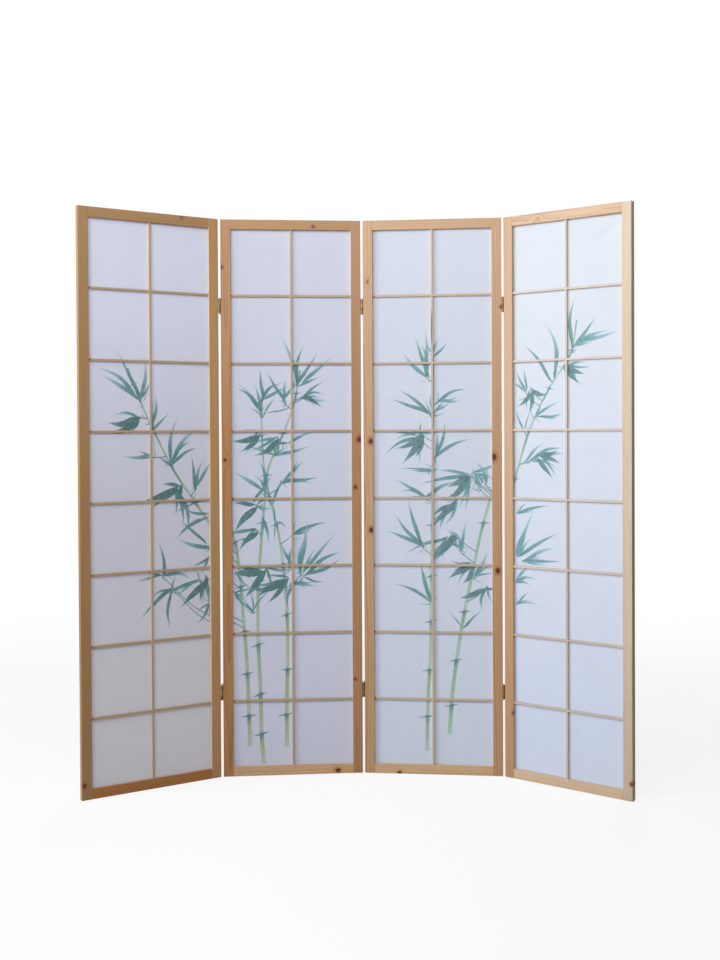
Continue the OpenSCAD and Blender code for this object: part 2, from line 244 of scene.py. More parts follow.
@dataclass(frozen=True)
class Softwood:
    """Planed softwood under a clear satin lacquer.

    Attributes:
        early: Colour of the wide pale part of a growth ring.
        late: Colour of its narrow dark part.
        warm: Colour that clouds the pale part here and there.
        ring: Width of a growth ring in millimetres.
        contrast: How strongly the dark part shows.
        polish: Roughness of the lacquer.
    """

    early: Colour
    late: Colour
    warm: Colour
    ring: float
    contrast: float
    polish: float

    # Colours of knots, of streaks, and of the painted light on walls that face the lamps
    HEART = tint(66, 34, 18)
    HALO = tint(160, 92, 48)
    CHECK = tint(96, 48, 26)
    PAINTED_WALL_LIGHT = tint(238, 218, 190)

    # Noises: waves in a metre on each axis, octaves and their strength
    DRIFT = ((1.1, 7.0, 7.0), 2.0)
    RIPPLE = ((4.5, 60.0, 60.0), 2.0)
    CLOUD = ((0.9, 16.0, 16.0), 3.0)
    FIBRE = ((7.0, 620.0, 620.0), 3.0, 0.62)
    FLECK = ((34.0, 1150.0, 1150.0), 1.0)
    RAGGED = ((220.0, 220.0, 220.0), 2.0)

    # Smooth steps: from, to, and the results there
    LATE_END = (0.9, 1.0, 1.0, 0.0)
    CLOUDED = (0.32, 0.74, 0.0, 0.85)
    STREAKED = (0.28, 0.72, 0.9, 1.06)
    FLECKED = (0.62, 0.75, 1.0, 0.86)

    # Growth rings: the late wood's rise, the faintest year, and where the tree's middle is and leans
    LATE_RISE = 2.6
    FAINTEST_YEAR = 0.4
    PITH, LEAN, SHIFT = (34, 80), (-14, 14), (-40, 40)

    # How far the rings stray, in metres, and round a knot, in its radii
    STRAY, RIPPLE_DEPTH = 0.016, 0.0022
    PUSHED, PUSH_SHARE, PUSH_LONG = (0.7, 4.2), 0.9, 1.9

    # Rims of knots and streaks in their radii: length for width, raggedness, and from where to where
    # they fade, with their cover
    KNOT_LONG, RAG = 1.3, 0.7
    HALO_FADE, HALO_COVER, HALO_GAIN = (0.9, 2.7), 0.3, 0.5
    HEART_FADE, HEART_COVER = (0.8, 1.2), 0.97
    CHECK_LONG, CHECK_RAG = 26.0, 0.3
    CHECK_FADE, CHECK_COVER = (0.7, 1.4), 0.9

    # How far the painted light on a wall reaches into the wood, in millimetres
    WALL = (0.7, 0.2)

    # Lacquer
    GLOSS_SWING = 0.14
    RING_RELIEF, RELIEF = 0.35, (0.22, 0.0002)
    LACQUER = {"Specular_IOR_Level": 0.42, "Coat_Weight": 0.12, "Coat_Roughness": 0.28}

    def rings(self, board: NodeBoard, place: Socket, pith: Point, lean: Point, wobble: Socket) -> Socket:
        """Gives the growth rings' darkness at a place.

        Args:
            board: The material's nodes.
            place: The member's own coordinates.
            pith: Where the tree's middle is beside the member's, in millimetres: depth and across.
            lean: How far the middle drifts to each side in a metre along the grain, in millimetres.
            wobble: What the rings' radius is moved by, in metres.

        Returns:
            The darkness, from 0 to 1.
        """
        along, *sides = board.split(place)
        sides = [
            board.sum("ADD", board.scaled(along, drift * MM, value), -offset * MM)
            for value, offset, drift in zip(sides, pith, lean)
        ]
        square = board.scaled(sides[0], sides[0])
        square = board.scaled(sides[1], sides[1], square)
        radius = board.sum("ADD", board.sum("SQRT", square), wobble)
        count = board.scaled(radius, 1 / (self.ring * MM))
        share = board.sum("FRACT", count)
        year = board.add("TexWhiteNoise", {"W": board.sum("FLOOR", count)}, noise_dimensions="1D")
        rise, drop = board.sum("POWER", share, self.LATE_RISE), board.span(share, *self.LATE_END)
        weight = board.scaled(year.outputs["Value"], 1 - self.FAINTEST_YEAR, self.FAINTEST_YEAR)
        return board.scaled(board.scaled(rise, drop), weight)

    def knot_reach(self, board: NodeBoard, place: Socket, knot: Knot, long: float) -> Socket:
        """Gives the distance from a knot, in its radii, with the halo drawn out along the grain.

        Args:
            board: The material's nodes.
            place: The member's own coordinates.
            knot: The knot.
            long: How much longer than wide its outline is.

        Returns:
            The distance, 1 at the heart's rim.
        """
        scale = 1 / (knot.radius * MM)
        offset = board.vector("SUBTRACT", place, (knot.along * MM, 0.0, knot.across * MM))
        return board.length(board.vector("MULTIPLY", offset, (scale / long, 0.0, scale)))

    def stray(self, board: NodeBoard, place: Socket, grain: Socket, knots: Knots) -> Socket:
        """Gives how far the growth rings leave their circles, which they also do round a knot.

        Args:
            board: The material's nodes.
            place: The member's own coordinates.
            grain: The same coordinates, moved to the member's own part of the noise.
            knots: The member's knots.

        Returns:
            The distance in metres.
        """
        drift = board.noise(grain, *self.DRIFT)
        ripple = board.noise(grain, *self.RIPPLE)
        wobble = board.scaled(drift, self.STRAY, -self.STRAY / 2)
        wobble = board.scaled(ripple, self.RIPPLE_DEPTH, wobble)
        for knot in knots:
            reach = self.knot_reach(board, place, knot, self.PUSH_LONG)
            push = board.span(reach, *self.PUSHED, knot.radius * self.PUSH_SHARE * MM, 0.0)
            wobble = board.sum("ADD", wobble, push)
        return wobble

    def marks(self, board: NodeBoard, place: Socket, colour: Socket, ragged: Socket, knots: Knots,
              checks: Knots) -> Socket:
        """Lays the knots, with any painted shadow spots among them, and the dark streaks over the wood's
        colour.

        Args:
            board: The material's nodes.
            place: The member's own coordinates.
            colour: The wood's colour.
            ragged: The noise that roughens their rims.
            knots: The member's knots.
            checks: Its dark resin streaks.

        Returns:
            The colour with the marks.
        """
        for knot in knots:
            reach = self.knot_reach(board, place, knot, self.KNOT_LONG)
            reach = board.scaled(ragged, self.RAG, board.sum("ADD", reach, -self.RAG / 2))
            halo = board.span(reach, *self.HALO_FADE, self.HALO_COVER + self.HALO_GAIN * knot.depth, 0.0)
            heart = board.span(reach, *self.HEART_FADE, self.HEART_COVER * knot.depth, 0.0)
            colour = board.mix(heart, board.mix(halo, colour, self.HALO), self.HEART)
        for check in checks:
            reach = self.knot_reach(board, place, check, self.CHECK_LONG)
            reach = board.scaled(ragged, self.CHECK_RAG, reach)
            cover = board.span(reach, *self.CHECK_FADE, self.CHECK_COVER * check.depth, 0.0)
            colour = board.mix(cover, colour, self.CHECK)
        return colour

    def dress(self, name: str, centre: Vector, turn: Euler, tone: Triple, knots: Knots = (),
              checks: Knots = (), painted_lit_walls: tuple[Point, ...] = ()) -> Material:
        """Makes the finish of one member.

        Args:
            name: The member's name, which also seeds its grain.
            centre: The member's middle in the screen's frame.
            turn: The turn from the member's axes to the screen's.
            tone: Factors on the colour, because no two members are of one tree, and painted light and sheen
            as well: darker on the left-hand panel, paler and bluer on the right-hand one where the lacquer
            catches the lamp.
            knots: The member's knots, which on most crossbars are painted shadows at their left ends
                instead.
            checks: Dark resin streaks, as long narrow knots.
            painted_lit_walls: Walls made paler as painted light, strongest on the walls that face the
            left-hand softbox: each one's place across the grain in millimetres and how pale it is, from 0
            to 1.

        Returns:
            The material.
        """
        draw = random.Random(f"{SEED} {name}")
        board = NodeBoard(bpy.data.materials.new(name))
        place = board.place(centre, turn)
        grain = board.vector("ADD", place, tuple(draw.uniform(*self.SHIFT) for _ in range(3)))
        angle = draw.uniform(0, 2 * math.pi)
        distance = draw.uniform(*self.PITH)
        pith = (distance * math.sin(angle), distance * math.cos(angle))
        lean = (draw.uniform(*self.LEAN), draw.uniform(*self.LEAN))
        dark = self.rings(board, place, pith, lean, self.stray(board, place, grain, knots))
        fibre = board.noise(grain, *self.FIBRE)
        clouded = board.patches(grain, self.CLOUD, self.CLOUDED)
        # The tone factors paint light and sheen as well as the board's own colour
        base = board.mix(clouded, shade(self.early, tone), shade(self.warm, tone))
        colour = board.mix(board.scaled(dark, self.contrast), base, shade(self.late, tone))
        flecked = board.patches(grain, self.FLECK, self.FLECKED)
        colour = board.dim(colour, board.scaled(board.span(fibre, *self.STREAKED), flecked))
        colour = self.marks(board, place, colour, board.noise(grain, *self.RAGGED), knots, checks)
        # Painted light: walls made paler, most strongly those that face the left-hand softbox
        for wall, pale in painted_lit_walls:
            outward = board.scaled(board.split(place)[2], math.copysign(1.0, wall))
            reach = ((abs(wall) - inward) * MM for inward in self.WALL)
            colour = board.mix(board.span(outward, *reach, 0.0, pale), colour, self.PAINTED_WALL_LIGHT)
        gloss = board.scaled(fibre, self.GLOSS_SWING, self.polish - self.GLOSS_SWING / 2)
        height = board.scaled(dark, self.RING_RELIEF, fibre)
        normal = board.relief(height, *self.RELIEF)
        return board.close(board.surface(colour, gloss, normal, **self.LACQUER))


@dataclass(frozen=True)
class PrintedPaper:
    """Matt fibrous paper with the print's inks laid in by a colour attribute.

    Attributes:
        ground: Colour of the bare paper.
        cool: Colour of its thinner places.
        show_through: Share of the light that passes the sheet.
    """

    ground: Colour
    cool: Colour
    show_through: float

    INK = "print"
    # Metres from the middle over which the paper's painted light and shade turn to the foot's and the
    # head's
    PAINTED_LIGHT_SPAN = 0.7

    # Noises: waves in a metre on each axis, octaves, their strength and their swirl
    CLOUD = ((18.0, 18.0, 18.0), 4.0, 0.6)
    PULP = ((260.0, 260.0, 260.0), 3.0, 0.6)
    STRAND = ((60.0, 900.0, 900.0), 2.0, 0.5, 0.6)
    BLOT = ((70.0, 70.0, 70.0), 4.0, 0.65)
    SLANTS = (0.55, -0.7, 1.4)

    # Smooth steps: from, to, and the results there
    CLOUDED = (0.3, 0.7)
    FIBROUS = (0.6, 0.78)
    PULPED = (0.25, 0.75, 0.965, 1.0)
    BLOTTED = (0.3, 0.72)

    FIBRE_LIFT, FIBRE_RESIST = 0.03, -0.16
    LEAST_LOAD, MOST_COVER = 0.78, 0.99
    PULP_RELIEF, RELIEF = 0.6, (0.2, 0.0001)
    ROUGHNESS, GLOSS = 0.86, 0.25

    def fibre(self, board: NodeBoard, place: Socket) -> Socket:
        """Gives the long fibres, which lie over each other at three slants.

        Args:
            board: The material's nodes.
            place: The sheet's own coordinates.

        Returns:
            The fibres' cover, from 0 to 1.
        """
        strands = []
        for slant in self.SLANTS:
            turned = board.add("Mapping", {"Rotation": (0.0, slant, 0.0), "Vector": place})
            strands.append(board.noise(turned.outputs["Vector"], *self.STRAND))
        strand = board.sum("MAXIMUM", board.sum("MAXIMUM", strands[0], strands[1]), strands[2])
        return board.span(strand, *self.FIBROUS)

    def dress(self, name: str, centre: Vector, turn: Euler, ink_and_painted_glare: float, tint_and_painted_glare: Triple,
              tones: tuple[Triple, Triple, Triple]) -> Material:
        """Makes the finish of one sheet.

        Args:
            name: The sheet's name.
            centre: The sheet's middle in the screen's frame.
            turn: The turn from the panel's axes to the screen's.
            ink_and_painted_glare: How much ink the sheet shows, less on the right-hand sheets, where it
                paints
            the glare that washes the print out there.
            tint_and_painted_glare: Factors on the inks' colours on this sheet, warmer on the left-hand
                sheets
            and bluer on the right-hand ones, as painted light.
            tones: Factors on the bare paper's colour at the sheet's foot, middle and head, which paint the
            lamps' light and shade by height.

        Returns:
            The material.
        """
        board = NodeBoard(bpy.data.materials.new(name))
        place = board.place(centre, turn)
        clouded = board.patches(place, self.CLOUD, self.CLOUDED)
        pulp = board.noise(place, *self.PULP)
        fibre = self.fibre(board, place)
        height = board.split(place)[2]
        # Painted light and shade: the bare paper is lighter or darker by height, as the lamps light it
        base, middle, head = (
            board.mix(clouded, shade(self.ground, tone), shade(self.cool, tone)) for tone in tones
        )
        base = board.mix(board.span(height, -self.PAINTED_LIGHT_SPAN, 0.0), base, middle)
        base = board.mix(board.span(height, 0.0, self.PAINTED_LIGHT_SPAN), base, head)
        pulped = board.span(pulp, *self.PULPED)
        base = board.dim(base, board.scaled(fibre, self.FIBRE_LIFT, pulped))
        ink = board.add("Attribute", attribute_name=self.INK)
        # Painted glare: the ink's cover is smaller on the right-hand sheets
        loaded = board.patches(place, self.BLOT, (*self.BLOTTED, ink_and_painted_glare, ink_and_painted_glare * self.LEAST_LOAD))
        cover = board.scaled(ink.outputs["Alpha"], loaded)
        cover = board.scaled(cover, board.scaled(fibre, self.FIBRE_RESIST, 1.0))
        printed = board.mix(1.0, ink.outputs["Color"], (*tint_and_painted_glare, 1.0), "MULTIPLY")
        colour = board.mix(board.sum("MINIMUM", cover, self.MOST_COVER), base, printed)
        nap = board.scaled(pulp, self.PULP_RELIEF, fibre)
        normal = board.relief(nap, *self.RELIEF)
        face = board.surface(colour, self.ROUGHNESS, normal, Specular_IOR_Level=self.GLOSS)
        glow = board.add("BsdfTranslucent", {"Color": colour, "Normal": normal}).outputs[0]
        return board.close(board.blend(self.show_through, face, glow))


@dataclass(frozen=True)
class WornMetal:
    """Thin metal with tarnish and fine drawn lines.

    Attributes:
        bright: Colour of the clean metal.
        tarnish: Colour of its aged places.
        spread: Share of the face that has aged, from 0 to 1.
        lines: How many drawn lines there are in a metre, on each axis.
        gloss: Roughness of the clean metal.
    """

    bright: Colour
    tarnish: Colour
    spread: float
    lines: Triple
    gloss: float

    # Noises: waves in a metre on each axis, octaves and their strength
    BLOOM = ((150.0, 150.0, 90.0), 5.0, 0.62)
    SPOT = ((900.0, 900.0, 900.0), 2.0)
    LINE_DETAIL = (2.0, 0.6)

    # Smooth steps: from, to, and the results there
    SPOTTED = (0.66, 0.76, 0.0, 0.7)
    LINED = (0.25, 0.75, 0.82, 1.06)
    AGED, AGED_SPREAD = (0.62, 0.9), 0.3

    AGED_ROUGHNESS, LINE_ROUGHNESS = 0.26, 0.08
    BLOOM_RELIEF, RELIEF = 0.3, (0.25, 0.00006)
    METALLIC = 0.94

    def dress(self, name: str) -> Material:
        """Makes the finish.

        Args:
            name: The material's name.

        Returns:
            The material.
        """
        board = NodeBoard(bpy.data.materials.new(name))
        place = board.place()
        bloom = board.noise(place, *self.BLOOM)
        line = board.noise(place, self.lines, *self.LINE_DETAIL)
        aged = board.span(bloom, *(edge - self.AGED_SPREAD * self.spread for edge in self.AGED))
        aged = board.sum("MAXIMUM", aged, board.patches(place, self.SPOT, self.SPOTTED))
        colour = board.dim(board.mix(aged, self.bright, self.tarnish), board.span(line, *self.LINED))
        rough = board.scaled(aged, self.AGED_ROUGHNESS, self.gloss)
        rough = board.scaled(line, self.LINE_ROUGHNESS, rough)
        height = board.scaled(bloom, self.BLOOM_RELIEF, line)
        normal = board.relief(height, *self.RELIEF)
        return board.close(board.surface(colour, rough, normal, Metallic=self.METALLIC))


FRAME_WOOD = Softwood(early=tint(195, 157, 118), late=tint(149, 101, 60), warm=tint(186, 142, 99),
                      ring=3.9, contrast=0.8, polish=0.42)
LATTICE_WOOD = Softwood(early=tint(197, 174, 146), late=tint(166, 134, 102), warm=tint(189, 163, 133),
                        ring=2.6, contrast=0.6, polish=0.46)
BEAD_WOOD = Softwood(early=tint(198, 168, 134), late=tint(160, 120, 82), warm=tint(188, 152, 114),
                     ring=3.1, contrast=0.65, polish=0.5)
PAPER = PrintedPaper(ground=tint(225, 228, 237), cool=tint(223, 227, 236), show_through=0.36)
HINGE_BRASS = WornMetal(bright=tint(158, 136, 96), tarnish=tint(88, 72, 52), spread=0.72,
                        lines=(260.0, 260.0, 1500.0), gloss=0.33)
PIN_BRASS = WornMetal(bright=tint(150, 128, 92), tarnish=tint(70, 56, 40), spread=0.85,
                      lines=(200.0, 200.0, 1800.0), gloss=0.3)
SCREW_STEEL = WornMetal(bright=tint(186, 172, 134), tarnish=tint(116, 98, 66), spread=0.35,
                        lines=(1400.0, 1400.0, 400.0), gloss=0.24)


@dataclass(frozen=True)
class Ink:
    """An ink of the print.

    Attributes:
        colour: Its linear colour, with its cover as the fourth value.
    """

    colour: Colour

    def weaker(self, share: float) -> "Ink":
        """Returns the same ink with less cover."""
        return Ink((*self.colour[:3], self.colour[3] * share))


DEEP = Ink(tint(92, 134, 133, 0.97))
TEAL = Ink(tint(106, 159, 160, 0.94))
MIST = Ink(tint(137, 183, 192, 0.82))
FAINT = Ink(tint(165, 200, 213, 0.6))
TWIG = Ink(tint(110, 150, 153, 0.86))
JOINT = Ink(tint(104, 138, 152, 0.95))
MOSS = Ink(tint(124, 162, 138, 0.96))
REED = Ink(tint(168, 192, 158, 0.95))
STRAW = Ink(tint(184, 200, 178, 0.88))


class Habit(Enum):
    """How a leaf grows: its width as a share of its length, its widest width, its sag in degrees, and
    how many slighter leaves a bunch has among them.
    """

    RISING = (0.074, 12.5, 22.0, 1)
    DROOPING = (0.175, 23.0, -18.0, 3)
    WISP = (0.03, 5.0, 22.0, 1)


RISING, DROOPING, WISP = Habit


@dataclass(frozen=True)
class Stroke:
    """One stroke of the print, a soft-edged band along a spine.

    Attributes:
        spine: Points along its middle, in print millimetres.
        half: Half of its width at each point, in millimetres.
        inks: The ink at each point.
    """

    spine: tuple[Point, ...]
    half: tuple[float, ...]
    inks: tuple[Ink, ...]

    CLOSEST = 0.12
    SHORTEST, SHORTEST_SQUARE = 1e-6, 1e-9

    def outline(self) -> list[Point]:
        """Returns the stroke's edge as one anticlockwise loop, up its right side and down its left."""
        line = np.array(self.spine)
        run = np.gradient(line, axis=0)
        run /= np.maximum(np.linalg.norm(run, axis=1, keepdims=True), self.SHORTEST)
        side = np.stack((-run[:, 1], run[:, 0]), axis=1) * np.array(self.half)[:, None]
        left, right = line + side, line - side
        loop = np.concatenate((right, left[::-1]))
        kept = [tuple(loop[0])]
        for point in loop[1:]:
            if math.dist(point, kept[-1]) > self.CLOSEST:
                kept.append(tuple(point))
        if math.dist(kept[0], kept[-1]) < self.CLOSEST:
            kept.pop()
        return kept

    def ink_at(self, places: np.ndarray) -> np.ndarray:
        """Gives the ink at some places in the stroke.

        Args:
            places: Print places, one a row.

        Returns:
            Linear colour and cover, one place a row.
        """
        line = np.array(self.spine)
        table = np.array([ink.colour for ink in self.inks])
        best = np.full(len(places), np.inf)
        result = np.zeros((len(places), 4))
        for start in range(len(line) - 1):
            run = line[start + 1] - line[start]
            share = np.clip((places - line[start]) @ run / max(run @ run, self.SHORTEST_SQUARE), 0.0, 1.0)
            gap = np.linalg.norm(places - (line[start] + share[:, None] * run), axis=1)
            closer = gap < best
            best = np.where(closer, gap, best)
            blend = table[start] + share[:, None] * (table[start + 1] - table[start])
            result[closer] = blend[closer]
        return result


def ramp_inks(stops: tuple[tuple[float, Ink], ...], shares: list[float]) -> tuple[Ink, ...]:
    """Spreads inks along a stroke.

    Args:
        stops: Pairs of a share of the length and the ink there.
        shares: The shares at which an ink is wanted.

    Returns:
        One ink for each share.
    """
    keys = [stop[0] for stop in stops]
    table = np.array([stop[1].colour for stop in stops])
    columns = [np.interp(shares, keys, table[:, part]) for part in range(4)]
    return tuple(Ink(tuple(float(column[i]) for column in columns)) for i in range(len(shares)))


def smooth_line(points: tuple[Point, ...], step: float) -> np.ndarray:
    """Runs a smooth curve through some points.

    Args:
        points: The points.
        step: The distance between the places that come out.

    Returns:
        Places along the curve, one a row.
    """
    line = np.array(points, float)
    padded = np.concatenate(([2 * line[0] - line[1]], line, [2 * line[-1] - line[-2]]))
    places = []
    for i in range(1, len(padded) - 2):
        before, here, there, after = padded[i - 1:i + 3]
        count = max(2, round(float(np.linalg.norm(there - here)) / step))
        for k in range(count):
            t = k / count
            places.append(0.5 * (2 * here + (there - before) * t
                                 + (2 * before - 5 * here + 4 * there - after) * t ** 2
                                 + (3 * here - before - 3 * there + after) * t ** 3))
    places.append(line[-1])
    return np.array(places)


@dataclass(frozen=True)
class Culm:
    """A bamboo stem of the print.

    Attributes:
        points: Places along it from the foot up, in print millimetres.
        foot: Its width at the foot, in millimetres.
        tip: Its width at the tip.
        joints: How far along it each joint is, in millimetres.
    """

    points: tuple[Point, ...]
    foot: float
    tip: float
    joints: tuple[float, ...]

    # Its outline: millimetres between points, and how its lengths narrow and flare at their ends
    STEP = 9.0
    THINNING = 0.95
    FOOT_FLARE, FOOT_SHARE = 0.2, 0.12
    HEAD_FLARE, HEAD_FROM = 0.22, 0.86
    UNEVEN = (0.96, 1.04)
    PALEST = 0.82

    # Inks along a length of the stem, below and above where it gets leafy
    LEAFY_FROM = 0.62
    BARE_STOPS, LEAFY_STOPS = (0.0, 0.45, 0.74, 1.0), (0.0, 0.4, 0.75, 1.0)
    LEAFY_INKS = (MIST, REED.weaker(0.9), MOSS, TEAL)

    # The joints' marks, which grow with the stem and lean with it
    MARK_AHEAD, UPWARDS = 8, 90
    MARK_SIZE, MARK_GAIN, STOUT = 0.45, 0.75, 13
    MARK_LEAN = 0.6
    MARK_TURN, MARK_LENGTHS, MARK_BEND = (-6, 6), (0.85, 1.15), (-20, 20)

    # A mark's strokes: heading in degrees, length and half of the width in millimetres
    MARKS = ((194, 23, 3.2), (10, 21, 3.0), (96, 12, 1.9), (262, 18, 2.9), (238, 9, 1.6))

    def path(self) -> tuple[np.ndarray, np.ndarray]:
        """Returns the places along the stem and how far along each is."""
        line = smooth_line(self.points, self.STEP)
        reach = np.concatenate(([0.0], np.cumsum(np.linalg.norm(np.diff(line, axis=0), axis=1))))
        return line, reach

    def width(self, reach: float, full: float) -> float:
        """Returns the stem's width some way along it."""
        share = reach / full
        return self.tip + (self.foot - self.tip) * (1 - share) ** self.THINNING

    def strokes(self, draw: random.Random) -> list[Stroke]:
        """Makes the stem's lengths and the joints' marks.

        Args:
            draw: The print's own dice.

        Returns:
            The strokes, in the order they are laid down.
        """
        line, reach = self.path()
        full = float(reach[-1])
        ends = [0.0, *self.joints, full]
        made = []
        for low, high in zip(ends, ends[1:]):
            count = max(4, round((high - low) / self.STEP))
            along = np.linspace(low, high, count + 1)
            spine = np.stack([np.interp(along, reach, line[:, k]) for k in range(2)], axis=1)
            shares = [float(value) for value in (along - low) / (high - low)]
            half = []
            for where, share in zip(along, shares):
                flare = 1 + self.FOOT_FLARE * max(0.0, 1 - share / self.FOOT_SHARE)
                flare += self.HEAD_FLARE * max(0.0, (share - self.HEAD_FROM) / (1 - self.HEAD_FROM))
                half.append(self.width(float(where), full) / 2 * flare * draw.uniform(*self.UNEVEN))
            pale = draw.uniform(self.PALEST, 1.0)
            if (low + high) / 2 / full < self.LEAFY_FROM:
                stops = zip(self.BARE_STOPS, (STRAW.weaker(pale), REED.weaker(pale), REED, MOSS))
            else:
                stops = zip(self.LEAFY_STOPS, self.LEAFY_INKS)
            made.append(Stroke(tuple(map(tuple, spine)), tuple(half), ramp_inks(tuple(stops), shares)))
        for joint in self.joints:
            made += self.joint_mark(joint, line, reach, full, draw)
        return made

    def joint_mark(self, joint: float, line: np.ndarray, reach: np.ndarray, full: float,
                   draw: random.Random) -> list[Stroke]:
        """Makes one joint's short spread strokes.

        Args:
            joint: How far along the stem the joint is.
            line: Places along the stem.
            reach: How far along each place is.
            full: The stem's length.
            draw: The print's own dice.

        Returns:
            The strokes.
        """
        centre, ahead = (
            tuple(float(np.interp(place, reach, line[:, k])) for k in range(2))
            for place in (joint, joint + self.MARK_AHEAD)
        )
        slant = math.degrees(math.atan2(ahead[1] - centre[1], ahead[0] - centre[0])) - self.UPWARDS
        size = self.MARK_SIZE + self.MARK_GAIN * self.width(joint, full) / self.STOUT
        marks = []
        for angle, length, half in self.MARKS:
            turn = math.radians(angle + slant * self.MARK_LEAN + draw.uniform(*self.MARK_TURN))
            long = length * size * draw.uniform(*self.MARK_LENGTHS)
            marks.append(dab(centre, turn, long, half * size, JOINT, draw.uniform(*self.MARK_BEND)))
        return marks


DAB_STEPS = 5
DAB_POINT = 0.1
DAB_TAPER = 0.7
DAB_FADE = 0.25


def dab(start: Point, heading: float, length: float, half: float, ink: Ink, bend: float) -> Stroke:
    """Makes a short tapering dab.

    Args:
        start: Where it starts.
        heading: Its heading in radians, 0 to the right.
        length: Its length.
        half: Half of its widest width.
        ink: Its ink.
        bend: How far it turns on its way, in degrees.

    Returns:
        The stroke.
    """
    shares = [k / DAB_STEPS for k in range(DAB_STEPS + 1)]
    turns = [heading + math.radians(bend) * (share - 0.5) for share in shares]
    spine = walk(start, length / DAB_STEPS, turns)
    halves = tuple(half * max(DAB_POINT, (1 - share) ** DAB_TAPER) for share in shares)
    return Stroke(spine, halves, tuple(ink.weaker(1 - DAB_FADE * share) for share in shares))


def walk(start: Point, step: float, turns: list[float]) -> tuple[Point, ...]:
    """Walks from a place, one step for each heading, and returns the place before each step.

    Args:
        start: Where the walk starts.
        step: A step's length.
        turns: The headings in radians, 0 to the right.

    Returns:
        The places.
    """
    here = np.array(start, float)
    places = []
    for turn in turns:
        places.append((float(here[0]), float(here[1])))
        here = here + step * np.array((math.cos(turn), math.sin(turn)))
    return tuple(places)


